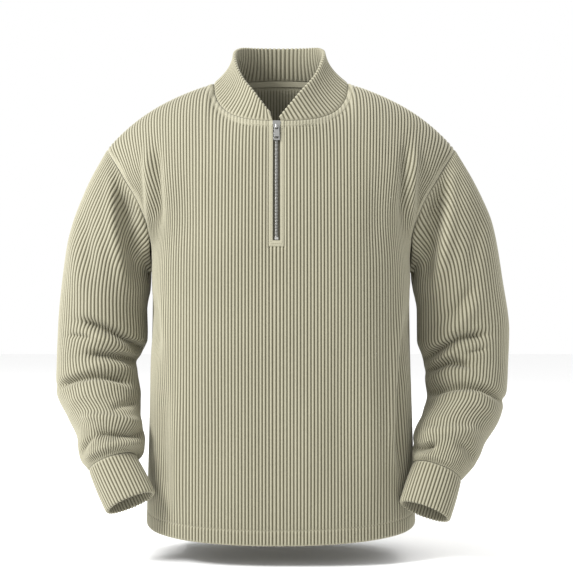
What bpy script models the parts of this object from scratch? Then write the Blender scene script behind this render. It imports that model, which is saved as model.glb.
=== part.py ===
"""A quarter-zip pullover in rib knit, filled out as if worn and hollow, open at the neck, hem and cuffs.

Units are metres, +Z is up and -Y is the front. The origin lies midway between the two high points
of the shoulders, where the neckline meets the shoulder seams. Each cloth piece is a thin closed wall:
ribs stand on its outer side, its inner side is plain.
"""
import math
from collections import namedtuple

import bmesh
import bpy
import numpy as np

# ---------------------------------------------------------------- driving dimensions

SEAM_GAP = 0.0003          # between two cut pieces
CLOTH = 0.0014             # wall between the ribs
BAND = 0.0019              # doubled wall of the collar and cuffs
RIB_HEIGHT = 0.0011

PANEL_HALF_RIBS = 54       # ribs from the zip opening to a side edge
MIDDLE_RIBS = 2            # ribs below the zip opening, between its two edges
SLEEVE_RIBS = 72
COLLAR_RIBS = 88
COLLAR_FRONT_RIBS = 24      # of them, from the zip to a shoulder seam
CUFF_RIBS = 56
LINING_STEP, LINING_REACH = 8, 0.016   # most rib lines, or most cloth, between a panel's inner columns
SLEEVE_LINING = 18
COLLAR_LINING = 52
CUFF_LINING = 20

NECK_HALF_WIDTH = 0.1035
NECK_FRONT, NECK_BACK = 0.095, 0.075           # how far the neckline reaches forward and back
NECK_DROP, NECK_RISE = 0.0667, 0.015           # its height at the front, below, and at the back, above
NECK_SQUARE = 1.25         # how square the front of the neckline is, seen from the front
SHOULDER_X, SHOULDER_DROP = 0.265, 0.100       # where the shoulder seam meets the armhole

TOP_EDGE_EVEN = 0.28       # 0 spaces a panel's ribs evenly in x along its top edge, more along the edge

ZIP_X = -0.006             # the zip sits a little to one side
ZIP_OPENING = 0.011
TAPE = 0.0009
TAPE_BACK = CLOTH + SEAM_GAP                   # from a panel's outer side to the tape behind it
STOP_HEIGHT = 0.0036
NECK_TAPE_GAP = 0.0008     # it bridges the small facets of the back's inner side
NECK_TAPE_SHARE = 0.17     # of the back's top row, from the collar's seam down

PanelRow = namedtuple("PanelRow", "face_z edge_z half_width face_y edge_y turn power")

# From hem to top: the middle of the panel, its side edge, and how far the section has turned there.
FRONT_ROWS = [
    PanelRow(-0.6880, -0.668, 0.2040, -0.146, -0.00015, 90, 2.7),
    PanelRow(-0.4500, -0.445, 0.1980, -0.148, -0.00015, 90, 2.7),
    PanelRow(-0.2570, -0.290, 0.1960, -0.141, -0.00015, 90, 2.7),
    PanelRow(-0.2050, -0.243, 0.1965, -0.134, -0.0450, 76, 2.6),
    PanelRow(-0.1550, -0.192, 0.2118, -0.1235, -0.0580, 64, 2.5),
    PanelRow(-0.1100, -0.143, 0.2410, -0.110, -0.0430, 54, 2.4),
]
BACK_ROWS = [
    PanelRow(-0.6800, -0.668, 0.2040, 0.128, 0.00015, 90, 2.7),
    PanelRow(-0.4500, -0.445, 0.1980, 0.128, 0.00015, 90, 2.7),
    PanelRow(-0.2700, -0.290, 0.1960, 0.133, 0.00015, 90, 2.7),
    PanelRow(-0.2000, -0.243, 0.1965, 0.131, 0.0450, 76, 2.6),
    PanelRow(-0.1280, -0.192, 0.2118, 0.122, 0.0560, 64, 2.5),
    PanelRow(-0.0580, -0.143, 0.2410, 0.104, 0.0400, 54, 2.4),
]
TOP_ROW = len(FRONT_ROWS)
UNDERARM_ROW = 2
SLIT_ROW = 2               # the zip opening ends on this row

# Upright folds of the panels: on a row, at a share of the way out to the edge, this deep.
PanelFold = namedtuple("PanelFold", "row share reach depth")
FRONT_FOLDS = [
    PanelFold(5, 0.86, 0.07, -0.0035),
    PanelFold(4, 0.82, 0.07, -0.0060),
    PanelFold(3, 0.80, 0.07, -0.0065),
    PanelFold(2, 0.80, 0.07, -0.0045),
    PanelFold(2, 0.92, 0.05, 0.0030),
    PanelFold(1, 0.84, 0.06, -0.0040),
    PanelFold(1, 0.93, 0.05, 0.0030),
]
BACK_FOLDS = [
    PanelFold(5, 0.84, 0.08, -0.0040),
    PanelFold(4, 0.80, 0.08, -0.0060),
    PanelFold(3, 0.79, 0.08, -0.0060),
    PanelFold(2, 0.80, 0.07, -0.0045),
    PanelFold(1, 0.86, 0.06, -0.0050),
    PanelFold(1, 0.62, 0.06, -0.0030),
]

# Rings of a sleeve below the armhole: its outer and inner points, its middle's y, its half depth,
# and the fold on it: at an angle (0 outer, 90 front, 180 inner), with a reach in degrees and a depth.
SleeveRing = namedtuple("SleeveRing", "out_x out_z in_x in_z y depth fold_at reach fold")
IMAGE_LEFT_RINGS = [
    SleeveRing(0.2960, -0.1580, 0.2012, -0.3035, 0.000, 0.0640, 60, 24, -0.0040),
    SleeveRing(0.3185, -0.2150, 0.2035, -0.3200, 0.004, 0.0655, 80, 26, -0.0045),
    SleeveRing(0.3360, -0.3000, 0.2088, -0.3500, 0.012, 0.0655, 110, 30, -0.0030),
    SleeveRing(0.3433, -0.3715, 0.2077, -0.3917, 0.015, 0.0640, 120, 55, -0.0060),
    SleeveRing(0.3449, -0.4286, 0.2243, -0.4348, 0.010, 0.0610, 70, 50, 0.0030),
    SleeveRing(0.3442, -0.4678, 0.2167, -0.4740, -0.005, 0.0600, 90, 55, -0.0055),
    SleeveRing(0.3238, -0.5073, 0.2151, -0.5042, -0.030, 0.0560, 110, 50, 0.0035),
    SleeveRing(0.3053, -0.5383, 0.2060, -0.5383, -0.055, 0.0520, 120, 45, -0.0040),
    SleeveRing(0.2996, -0.5640, 0.2056, -0.5500, -0.073, 0.0470, 40, 45, 0.0030),
    SleeveRing(0.2834, -0.5859, 0.2180, -0.5610, -0.085, 0.0320, 0, 45, 0.0),
]
IMAGE_RIGHT_RINGS = [
    SleeveRing(0.2985, -0.1580, 0.2020, -0.3035, 0.000, 0.0640, 66, 24, -0.0045),
    SleeveRing(0.3235, -0.2150, 0.2055, -0.3200, 0.004, 0.0655, 84, 26, -0.0040),
    SleeveRing(0.3405, -0.3000, 0.2118, -0.3500, 0.012, 0.0655, 105, 30, -0.0035),
    SleeveRing(0.3517, -0.3793, 0.2122, -0.3948, 0.015, 0.0640, 115, 55, -0.0060),
    SleeveRing(0.3495, -0.4286, 0.2226, -0.4332, 0.010, 0.0610, 80, 50, 0.0035),
    SleeveRing(0.3458, -0.4678, 0.2244, -0.4740, -0.005, 0.0600, 60, 55, -0.0055),
    SleeveRing(0.3316, -0.5118, 0.2161, -0.5073, -0.030, 0.0560, 120, 50, 0.0035),
    SleeveRing(0.3072, -0.5443, 0.2003, -0.5383, -0.055, 0.0520, 90, 45, -0.0040),
    SleeveRing(0.2927, -0.5720, 0.1985, -0.5560, -0.073, 0.0470, 50, 45, 0.0030),
    SleeveRing(0.2662, -0.6008, 0.1985, -0.5726, -0.085, 0.0320, 0, 45, 0.0),
]
CuffEnd = namedtuple("CuffEnd", "out_x out_z in_x in_z y depth")
IMAGE_LEFT_CUFF = CuffEnd(0.2553, -0.6432, 0.1868, -0.6124, -0.110, 0.0290)
IMAGE_RIGHT_CUFF = CuffEnd(0.2473, -0.6545, 0.1767, -0.6265, -0.110, 0.0290)
TUCK_OUT, TUCK_UP = 0.0034, 0.0020             # the sleeve starts beside the panels at the underarm
TUCK_REACH = 0.045                             # and comes level with them this far up

# The collar's free edge, by the angle round the neck from the front (0) to the back (180).
CollarEdge = namedtuple("CollarEdge", "angle x y z waist")
COLLAR_EDGE = [
    CollarEdge(0, 0.0055, -0.0965, -0.0620, 0.0000),
    CollarEdge(30, 0.0330, -0.0760, -0.0260, 0.0010),
    CollarEdge(60, 0.0580, -0.0380, 0.0080, 0.0040),
    CollarEdge(90, 0.0690, 0.0000, 0.0400, 0.0065),
    CollarEdge(120, 0.0620, 0.0320, 0.0550, 0.0050),
    CollarEdge(150, 0.0360, 0.0540, 0.0620, 0.0025),
    CollarEdge(180, 0.0000, 0.0610, 0.0650, 0.0015),
]

# Zip hardware, in its own frame: x to the image's right, y up along the zip, z out of the cloth.
SLIDER_TOP = 0.0010        # below the neckline
SLIDER_LENGTH, SLIDER_TOP_WIDTH, SLIDER_END_WIDTH = 0.0138, 0.0118, 0.0086
SLIDER_BACK, SLIDER_FACE = 0.0014, 0.0030      # of its front plate, out from the cloth
WEDGE_WIDTH, WEDGE_LENGTH, WEDGE_BACK = 0.0056, 0.0100, -0.0012
PULL_LENGTH, PULL_WIDTH, PULL_THICK = 0.0220, 0.0092, 0.0014
CROSSBAR = 0.0014          # height of the pull's top bar, which turns under the bridge
WINDOW_WIDTH, WINDOW_LENGTH = 0.0048, 0.0036
SLOT_WIDTH, SLOT_LENGTH, SLOT_UP = 0.0064, 0.0032, 0.0024
HINGE_DOWN = 0.0106        # from the slider's top to the pull's axis
HINGE_OUT = SLIDER_FACE + 0.0012
BRIDGE_WIDTH, BRIDGE_THICK, BRIDGE_ROOM = 0.0036, 0.0011, 0.0011
BRIDGE_ABOVE, BRIDGE_BELOW = 0.0037, 0.0026    # from the axis to the bridge's two ends
PULL_LEAN = math.radians(4.0)                  # its lower end leans in to the chain


# ---------------------------------------------------------------- scene, materials, walls

def empty_scene():
    for thing in list(bpy.data.objects):
        bpy.data.objects.remove(thing, do_unlink=True)
    home = bpy.data.collections.new("quarter_zip_pullover")
    bpy.context.scene.collection.children.link(home)
    return home


def material(name, colour, roughness, metallic=0.0):
    made = bpy.data.materials.new(name)
    made.use_nodes = True
    shader = made.node_tree.nodes["Principled BSDF"]
    shader.inputs["Base Color"].default_value = (*colour, 1.0)
    shader.inputs["Roughness"].default_value = roughness
    shader.inputs["Metallic"].default_value = metallic
    return made


def unit(vectors):
    vectors = np.asarray(vectors, dtype=float)
    return vectors / np.linalg.norm(vectors, axis=-1, keepdims=True)


def shares_along(points):
    """How far along a line each of its points lies, from 0 to 1."""
    points = np.asarray(points, dtype=float)
    steps = np.linalg.norm(np.diff(points, axis=0), axis=1)
    along = np.concatenate([[0.0], np.cumsum(steps)])
    return along / along[-1]


def spaced(points, count):
    """count + 1 points at equal steps along a line."""
    points = np.asarray(points, dtype=float)
    shares = shares_along(points)
    wanted = np.linspace(0.0, 1.0, count + 1)
    return np.stack([np.interp(wanted, shares, points[:, k]) for k in range(3)], axis=1)


def fill_between(mesh, first, second):
    """Triangles between two lines of vertices that run the same way."""
    first_at = shares_along([v.co for v in first])
    second_at = shares_along([v.co for v in second])
    i = k = 0
    while i < len(first) - 1 or k < len(second) - 1:
        second_done = k == len(second) - 1
        if second_done or (i < len(first) - 1 and first_at[i + 1] <= second_at[k + 1]):
            mesh.faces.new((first[i], first[i + 1], second[k]))
            i += 1
        else:
            mesh.faces.new((first[i], second[k + 1], second[k]))
            k += 1


def skin(mesh, points, closed, hole=None):
    """A sheet of faces over rows of points. hole is a first row and two columns, left open above it."""
    rows, columns = points.shape[:2]
    in_hole = [[False] * columns for _ in range(rows)]
    if hole:
        first_row, left, right = hole
        for row in range(first_row + 1, rows):
            for column in range(left + 1, right):
                in_hole[row][column] = True
    vertices = [[None if in_hole[r][c] else mesh.verts.new(points[r, c]) for c in range(columns)]
                for r in range(rows)]
    for row in range(rows - 1):
        for column in range(columns if closed else columns - 1):
            if hole and row >= first_row and left <= column < right:
                continue
            after = (column + 1) % columns
            mesh.faces.new((vertices[row][column], vertices[row][after],
                            vertices[row + 1][after], vertices[row + 1][column]))
    return vertices


def finish_solid(mesh, name, home, look):
    bmesh.ops.recalc_face_normals(mesh, faces=mesh.faces)
    if mesh.calc_volume(signed=True) < 0:
        bmesh.ops.reverse_faces(mesh, faces=mesh.faces)
    data = bpy.data.meshes.new(name)
    mesh.to_mesh(data)
    mesh.free()
    data.materials.append(look)
    piece = bpy.data.objects.new(name, data)
    home.objects.link(piece)
    return piece


def tube_wall(name, outer, inner, home, look):
    """A closed wall between two sets of rings, open at both ends of the tube."""
    mesh = bmesh.new()
    outside = skin(mesh, outer, closed=True)
    inside = skin(mesh, inner, closed=True)
    for end in (0, -1):
        fill_between(mesh, outside[end] + outside[end][:1], inside[end] + inside[end][:1])
    return finish_solid(mesh, name, home, look)


def sheet_wall(name, outer, inner, home, look, outer_hole=None, inner_hole=None):
    """A closed wall between two sheets of the same outline, with a slit down from the top row."""
    mesh = bmesh.new()
    outside = skin(mesh, outer, closed=False, hole=outer_hole)
    inside = skin(mesh, inner, closed=False, hole=inner_hole)
    fill_between(mesh, outside[0], inside[0])
    for column in (0, -1):
        fill_between(mesh, [row[column] for row in outside], [row[column] for row in inside])
    if outer_hole is None:
        fill_between(mesh, outside[-1], inside[-1])
        return finish_solid(mesh, name, home, look)
    row, left, right = outer_hole
    _, near, far = inner_hole
    fill_between(mesh, outside[-1][:left + 1], inside[-1][:near + 1])
    fill_between(mesh, outside[-1][right:], inside[-1][far:])
    fill_between(mesh, outside[row][left:right + 1], inside[row][near:far + 1])
    for column, match in ((left, near), (right, far)):
        fill_between(mesh, [line[column] for line in outside[row:]],
                     [line[match] for line in inside[row:]])
    return finish_solid(mesh, name, home, look)


# ---------------------------------------------------------------- neckline and shoulder

def neck_point(angle):
    """The neckline, by the angle in radians from the front, round the image's left, to the back."""
    forward = math.cos(angle)
    reach = NECK_FRONT if forward > 0 else NECK_BACK
    if forward > 0:
        height = -NECK_DROP * math.sin(NECK_SQUARE * forward) / math.sin(NECK_SQUARE)
    else:
        height = NECK_RISE * abs(forward) ** 1.5
    return np.array([-NECK_HALF_WIDTH * math.sin(angle), -reach * forward, height])


def neck_normal(angle):
    """Out of the cloth along the neckline, the same for the panels and the collar."""
    lift = math.radians(19 + 32 * math.sin(angle) ** 2)
    level = math.cos(lift)
    return np.array([-level * math.sin(angle), -level * math.cos(angle), math.sin(lift)])


def top_edge(stage, side, front):
    """Point and normal on a panel's top edge: the neckline up to stage 1, the shoulder seam to 2."""
    if stage <= 1.0:
        turn = stage * math.pi / 2
        angle = turn if front else math.pi - turn
        point, normal = neck_point(angle), neck_normal(angle)
        point[1] += (-SEAM_GAP if front else SEAM_GAP) / 2 * stage ** 8
        return point * (-side, 1.0, 1.0), normal * (-side, 1.0, 1.0)
    run = SHOULDER_X - NECK_HALF_WIDTH
    share = stage - 1.0
    height = -SHOULDER_DROP * (0.58 * share + 0.42 * share ** 3)
    slope = SHOULDER_DROP * (0.58 + 1.26 * share ** 2) / run
    seam = -SEAM_GAP / 2 if front else SEAM_GAP / 2
    return (np.array([side * (NECK_HALF_WIDTH + run * share), seam, height]),
            unit([side * slope, 0.0, 1.0]))


def top_half(start, half, side, front):
    """A panel's top edge from the start x outwards: steps even in x, but short round the neck."""
    stages = np.linspace(math.asin(start / NECK_HALF_WIDTH) * 2 / math.pi, 2.0, 900)
    points = np.array([top_edge(stage, side, front)[0] for stage in stages])
    steps = np.diff(points, axis=0)
    weight = np.abs(steps[:, 0]) + TOP_EDGE_EVEN * np.linalg.norm(steps, axis=1)
    run = np.concatenate([[0.0], np.cumsum(weight)])
    wanted = np.interp(np.linspace(0.0, run[-1], half + 1), run, stages)
    near = np.argmin(np.abs(wanted - 1.0))
    wanted[near] = 1.0
    return [top_edge(stage, side, front) for stage in wanted]


# ---------------------------------------------------------------- front and back panels

def half_row(row, start, shares, side):
    """Points of one row of a panel, from the start x out to the edge on one side."""
    turns = np.radians(np.linspace(0, row.turn, 240))
    along_x = np.sin(turns) ** (2 / row.power)
    along_y = np.cos(turns) ** (2 / row.power)
    x = row.half_width * along_x / along_x[-1]
    y = row.edge_y + (row.face_y - row.edge_y) * (along_y - along_y[-1]) / (1 - along_y[-1])
    x = np.concatenate([[-0.02], x])
    y = np.concatenate([[row.face_y], y])
    arc = np.concatenate([[0.0], np.cumsum(np.hypot(np.diff(x), np.diff(y)))])
    first = np.interp(start, x, arc)
    wanted = first + (arc[-1] - first) * shares
    z = row.face_z + (row.edge_z - row.face_z) * shares ** 2
    return np.stack([side * np.interp(wanted, arc, x), np.interp(wanted, arc, y), z], axis=1)


def panel_lines(rows, front):
    """Base points and outward normals of a panel: rows from hem to top, columns left to right."""
    half = 2 * PANEL_HALF_RIBS + (0 if front else MIDDLE_RIBS)
    middle = 2 * MIDDLE_RIBS if front else 0
    left_start = -(ZIP_X - ZIP_OPENING / 2) if front else 0.0
    right_start = ZIP_X + ZIP_OPENING / 2 if front else 0.0
    shares = np.linspace(0.0, 1.0, half + 1)
    lines = []
    for row in rows:
        left = half_row(row, left_start, shares, -1.0)[::-1]
        right = half_row(row, right_start, shares, 1.0)
        between = np.linspace(left[-1], right[0], middle + 1)[1:-1] if middle else []
        lines.append(np.vstack([left, *([between] if middle else []), right[0 if middle else 1:]]))
    left = top_half(left_start, half, -1.0, front)[::-1]
    right = top_half(right_start, half, 1.0, front)
    between = [((left[-1][0] * (middle - k) + right[0][0] * k) / middle, left[-1][1])
               for k in range(1, middle)]
    top = left + between + right[0 if middle else 1:]
    lines.append(np.array([point for point, _ in top]))
    base = np.array(lines)

    across = np.gradient(base, axis=1)
    upward = np.gradient(base, axis=0)
    normals = unit(np.cross(across, upward) * (1.0 if front else -1.0))
    normals[-1] = [normal for _, normal in top]
    for row in range(UNDERARM_ROW + 1):
        normals[row, 0] = (-1.0, 0.0, 0.0)
        normals[row, -1] = (1.0, 0.0, 0.0)

    out_share = np.abs(np.linspace(-1.0, 1.0, base.shape[1]))
    for fold in FRONT_FOLDS if front else BACK_FOLDS:
        shape = np.exp(-((out_share - fold.share) / fold.reach) ** 2) * np.clip((1 - out_share) * 25, 0, 1)
        base[fold.row] += normals[fold.row] * (fold.depth * shape)[:, None]
    return base, normals


def rib_heights(rows, columns):
    """Crest heights over a panel: every second column stands up, less so along the top seam."""
    heights = np.zeros((rows, columns))
    heights[:, 1::2] = RIB_HEIGHT
    heights[-1] *= 0.4
    return heights


def lining_columns(base, kept=()):
    """The columns of a panel's plain inner side: kept ones, and others closer where the neck bends."""
    top = base[-1]
    last = len(top) - 1
    columns = [0]
    for column in range(1, last + 1):
        far = np.linalg.norm(top[min(column + 1, last)] - top[columns[-1]]) > LINING_REACH
        if far or column - columns[-1] >= LINING_STEP or column in kept or column == last:
            columns.append(column)
    return columns


def front_panel(home, look):
    base, normals = panel_lines(FRONT_ROWS, front=True)
    heights = rib_heights(*base.shape[:2])
    left, right = 2 * PANEL_HALF_RIBS, 2 * PANEL_HALF_RIBS + 2 * MIDDLE_RIBS
    heights[SLIT_ROW:, left - 3:right + 4] = 0.0          # the plain frame of the opening
    columns = lining_columns(base, kept=(left - 3, left, right, right + 3))
    between = [c for c in columns if left < c < right]
    columns = [c for c in columns if c not in between]
    sheet_wall("front_panel", base + normals * heights[..., None],
               (base - normals * CLOTH)[:, columns], home, look,
               outer_hole=(SLIT_ROW, left, right),
               inner_hole=(SLIT_ROW, columns.index(left), columns.index(right)))
    return base, normals


def back_panel(home, look):
    base, normals = panel_lines(BACK_ROWS, front=False)
    heights = rib_heights(*base.shape[:2])
    sheet_wall("back_panel", base + normals * heights[..., None],
               (base - normals * CLOTH)[:, lining_columns(base)], home, look)
    return base, normals


def on_rows(lines, level):
    """A panel's line of points between two of its rows: level 4.5 is halfway from row 4 to row 5."""
    row = min(int(level), len(lines) - 2)
    share = level - row
    return lines[row] * (1 - share) + lines[row + 1] * share


def strip(name, base, normals, levels, columns, back, face, home, look, shift=None):
    """A plain flat piece that lies along a panel's points, between two distances out of the cloth."""
    points = np.array([on_rows(base, level)[columns] for level in levels])
    out = unit(np.array([on_rows(normals, level)[columns] for level in levels]))
    if shift is not None:
        points = points + shift
    return sheet_wall(name, points + out * face, points + out * back, home, look)


def neck_tape(base, normals, home, look):
    """The plain tape inside the back, just under the collar's seam."""
    columns = [c for c in lining_columns(base) if abs(base[-1, c, 0]) < 0.092]
    face = -(CLOTH + NECK_TAPE_GAP)
    strip("neck_tape", base, normals, (TOP_ROW - NECK_TAPE_SHARE, TOP_ROW - 0.02), columns,
          face - TAPE, face, home, look)


# ---------------------------------------------------------------- sleeves and cuffs

def oval(ring, side, axis):
    """A ring's frame: middle, the way out to its outer point, the way to its front, both half sizes."""
    outer = np.array([side * ring.out_x, ring.y, ring.out_z])
    inner = np.array([side * ring.in_x, ring.y, ring.in_z])
    middle = (outer + inner) / 2
    out = unit(outer - inner)
    forward = unit(np.cross(axis, out))
    if forward[1] > 0:
        forward = -forward
    return middle, out, forward, np.linalg.norm(outer - inner) / 2, ring.depth


def oval_points(frame, count, fold=None):
    """count points at equal steps round an oval, from its inner point by the front to the outer."""
    middle, out, forward, half_width, half_depth = frame
    angles = np.radians(np.linspace(180.0, -180.0, 721))
    reach = np.ones_like(angles)
    if fold:
        away = (np.degrees(angles) - fold.fold_at + 180) % 360 - 180
        reach += fold.fold / half_depth * np.exp(-(away / fold.reach) ** 2)
    points = (middle + np.outer(half_width * reach * np.cos(angles), out)
              + np.outer(half_depth * reach * np.sin(angles), forward))
    return spaced(points, count)[:-1]


def outward(points, middle, axis):
    """In-plane normals of a ring of points."""
    along = np.roll(points, -1, axis=0) - np.roll(points, 1, axis=0)
    normals = unit(np.cross(along, axis))
    facing = np.sum(normals * (points - middle), axis=1, keepdims=True)
    return normals * np.where(facing < 0, -1.0, 1.0)


def armhole_ring(front, back, side):
    """The sleeve's first ring, on both panels' armhole edges, beside them at the underarm."""
    edge = -1 if side > 0 else 0
    front_edge = front[0][UNDERARM_ROW:, edge]
    back_edge = back[0][UNDERARM_ROW:, edge]
    half = SLEEVE_RIBS
    points = np.vstack([spaced(front_edge, half)[:-1], spaced(back_edge[::-1], half)[:-1]])
    points[[0, half], 1] = 0.0
    above = (points[:, 2] - front_edge[0, 2]) / TUCK_REACH
    tuck = np.clip(1.5 - above, 0.0, 1.0)[:, None]
    return points + tuck * np.array([side * TUCK_OUT, 0.0, TUCK_UP])


def sleeve(name, rings, cuff_end, side, front, back, home, look):
    first = armhole_ring(front, back, side)
    middles = [first.mean(axis=0)]
    for ring in [*rings, cuff_end]:
        middles.append(np.array([side * (ring.out_x + ring.in_x) / 2, ring.y,
                                 (ring.out_z + ring.in_z) / 2]))
    count = 2 * SLEEVE_RIBS
    loops = []
    end_axis = unit(middles[-1] - middles[-2])
    for k, ring in enumerate(rings):
        axis = end_axis if ring is rings[-1] else unit(middles[k + 2] - middles[k])
        loops.append(oval_points(oval(ring, side, axis), count, ring))
    toward = unit(loops[0] - first)
    base = np.array([first + toward * 0.0005, *loops])

    around = np.roll(base, -1, axis=1) - np.roll(base, 1, axis=1)
    along = np.gradient(base, axis=0)
    normals = unit(np.cross(around, along))
    centre = base.mean(axis=1, keepdims=True)
    if np.sum(normals * (base - centre)) < 0:
        normals = -normals
    normals[-1] = outward(base[-1], middles[-2], end_axis)

    heights = np.zeros(base.shape[:2])
    heights[:, 1::2] = RIB_HEIGHT
    heights[0] *= 0.4
    step = count // SLEEVE_LINING
    tube_wall(name, base + normals * heights[..., None], (base - normals * CLOTH)[:, ::step],
              home, look)
    return end_axis


def cuff(name, seam_ring, end, side, axis, home, look):
    """A doubled rib band, from the sleeve's last ring to the open end."""
    middles = []
    frames = []
    for ring in (seam_ring, end):
        frame = oval(ring, side, axis)
        frames.append(frame)
        middles.append(frame[0])
    count = 2 * CUFF_RIBS
    seam = oval_points(frames[0], count) + axis * SEAM_GAP * 1.3
    mouth = oval_points(frames[1], count)
    base = np.array([seam, mouth])
    normals = np.array([outward(seam, middles[0], axis), outward(mouth, middles[1], axis)])
    heights = np.zeros(base.shape[:2])
    heights[:, 1::2] = RIB_HEIGHT
    lining = np.round(np.arange(CUFF_LINING) * count / CUFF_LINING).astype(int)
    tube_wall(name, base + normals * heights[..., None], (base - normals * BAND)[:, lining],
              home, look)


# ---------------------------------------------------------------- collar

def neckline(front, back):
    """The panels' neck edge as one line, from the zip's left side round the back to its right."""
    front_edge, back_edge = front[0][-1], back[0][-1]
    left = 2 * PANEL_HALF_RIBS
    right = left + 2 * MIDDLE_RIBS
    reach = NECK_HALF_WIDTH + SEAM_GAP
    first = front_edge[:left + 1][front_edge[:left + 1, 0] > -reach][::-1]
    behind = back_edge[np.abs(back_edge[:, 0]) < reach]
    last = front_edge[right:][front_edge[right:, 0] < reach][::-1]
    behind_ribs = COLLAR_RIBS - 2 * COLLAR_FRONT_RIBS
    return np.vstack([spaced(first, 2 * COLLAR_FRONT_RIBS), spaced(behind, 2 * behind_ribs)[1:-1],
                      spaced(last, 2 * COLLAR_FRONT_RIBS)])


def collar(front, back, home, look):
    """A doubled rib band that stands round the neck and narrows to the top of the zip."""
    feet = neckline(front, back)
    sines = -feet[:, 0] / NECK_HALF_WIDTH
    cosines = -feet[:, 1] / np.where(feet[:, 1] < 0, NECK_FRONT, NECK_BACK)
    angles = np.unwrap(np.arctan2(sines, cosines))
    table = {field: [getattr(row, field) for row in COLLAR_EDGE] for field in CollarEdge._fields}
    seam, middle, edge = [], [], []
    for foot, angle in zip(feet, angles):
        turn = abs(math.degrees(angle) if angle <= math.pi else 360 - math.degrees(angle))
        side = -1.0 if angle <= math.pi else 1.0
        here = {field: smooth_between(turn, table["angle"], table[field])
                for field in ("x", "y", "z", "waist")}
        shift = ZIP_X * math.cos(math.radians(turn / 2)) ** 2
        top = np.array([side * here["x"] + shift, here["y"], here["z"]])
        foot = foot + unit(top - foot) * SEAM_GAP * 1.5
        inward = -unit([foot[0], foot[1], 0.0]) * here["waist"]
        seam.append(foot)
        middle.append((foot + top) / 2 + inward)
        edge.append(top)
    base = np.array([seam, middle, edge])
    normals = unit(np.cross(np.gradient(base, axis=1), np.gradient(base, axis=0)))
    if normals[1, COLLAR_RIBS, 1] < 0:
        normals = -normals
    normals[0] = [neck_normal(angle) for angle in angles]
    heights = np.zeros(base.shape[:2])
    heights[:, 1::2] = RIB_HEIGHT
    heights[0] *= 0.4
    heights[2] *= 0.6
    lining = np.round(np.linspace(0, 2 * COLLAR_RIBS, COLLAR_LINING + 1)).astype(int)
    sheet_wall("collar", base + normals * heights[..., None], (base - normals * BAND)[:, lining],
               home, look)


def smooth_between(at, stops, values):
    """A smooth curve through a table's values."""
    stops, values = np.asarray(stops, float), np.asarray(values, float)
    slopes = np.gradient(values, stops)
    slopes[0] = (values[1] - values[0]) / (stops[1] - stops[0])
    slopes[-1] = 0.0
    k = int(np.clip(np.searchsorted(stops, at) - 1, 0, len(stops) - 2))
    span = stops[k + 1] - stops[k]
    t = np.clip((at - stops[k]) / span, 0.0, 1.0)
    rise = values[k + 1] - values[k]
    a = slopes[k] * span - rise
    b = rise - slopes[k + 1] * span
    return values[k] + t * rise + t * (1 - t) * (a * (1 - t) + b * t)


# ---------------------------------------------------------------- zip

def zip_cloth_and_chain(base, normals, home, tape_look, metal_look):
    """Two tapes behind the opening, the closed teeth as one rail, and the stop below them."""
    left = 2 * PANEL_HALF_RIBS
    centre, right = left + MIDDLE_RIBS, left + 2 * MIDDLE_RIBS
    top_run = np.linalg.norm(base[-1, centre] - base[-2, centre])
    foot_run = np.linalg.norm(base[SLIT_ROW + 1, centre] - base[SLIT_ROW, centre])
    levels = [SLIT_ROW - 0.03, SLIT_ROW, *range(SLIT_ROW + 1, TOP_ROW), TOP_ROW - 0.0012 / top_run]
    for name, columns, way in (("zip_tape_left", [left - 3, left, centre], -1.0),
                               ("zip_tape_right", [centre, right, right + 3], 1.0)):
        shift = np.array([way * SEAM_GAP / 2, 0.0, 0.0])
        strip(name, base, normals, levels, columns, -(TAPE_BACK + TAPE), -TAPE_BACK,
              home, tape_look, shift)

    slider_end = TOP_ROW - (SLIDER_TOP + SLIDER_LENGTH + SEAM_GAP) / top_run
    stop_foot = SLIT_ROW + 0.0012 / foot_run
    stop_head = stop_foot + STOP_HEIGHT / foot_run
    teeth = [stop_head + SEAM_GAP / foot_run, *range(SLIT_ROW + 1, TOP_ROW), slider_end]
    columns = [centre - 1, centre, centre + 1]
    strip("zip_chain", base, normals, teeth, columns, -CLOTH, 0.0006, home, metal_look)
    strip("zip_stop", base, normals, (stop_foot, stop_head), columns, -CLOTH, 0.0009,
          home, metal_look)


def rounded(width_top, width_foot, top, foot, radius, corner_steps=4):
    """Points round a four-sided outline with round corners, for a flat piece."""
    corners = [(width_top / 2, top, 0), (-width_top / 2, top, 90),
               (-width_foot / 2, foot, 180), (width_foot / 2, foot, 270)]
    points = []
    for x, y, start in corners:
        centre_x = x - math.copysign(radius, x)
        centre_y = y - radius if y == top else y + radius
        for step in range(corner_steps + 1):
            angle = math.radians(start + 90 * step / corner_steps)
            points.append((centre_x + radius * math.cos(angle), centre_y + radius * math.sin(angle)))
    return points


def flat_piece(name, outlines, thickness, look, home):
    """A flat piece from closed outlines, the first its edge and the others its holes."""
    curve = bpy.data.curves.new(name, "CURVE")
    curve.dimensions = "2D"
    curve.fill_mode = "BOTH"
    curve.extrude = thickness / 2
    for outline in outlines:
        spline = curve.splines.new("POLY")
        spline.points.add(len(outline) - 1)
        for point, (x, y) in zip(spline.points, outline):
            point.co = (x, y, 0.0, 1.0)
        spline.use_cyclic_u = True
    guide = bpy.data.objects.new(name + "_outline", curve)
    home.objects.link(guide)
    bpy.context.view_layer.update()
    evaluated = guide.evaluated_get(bpy.context.evaluated_depsgraph_get())
    data = bpy.data.meshes.new_from_object(evaluated)
    data.name = name
    work = bmesh.new()
    work.from_mesh(data)
    bmesh.ops.remove_doubles(work, verts=work.verts, dist=0.000001)
    bmesh.ops.recalc_face_normals(work, faces=work.faces)
    work.to_mesh(data)
    work.free()
    bpy.data.objects.remove(guide, do_unlink=True)
    data.materials.clear()
    data.materials.append(look)
    piece = bpy.data.objects.new(name, data)
    home.objects.link(piece)
    return piece


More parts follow.
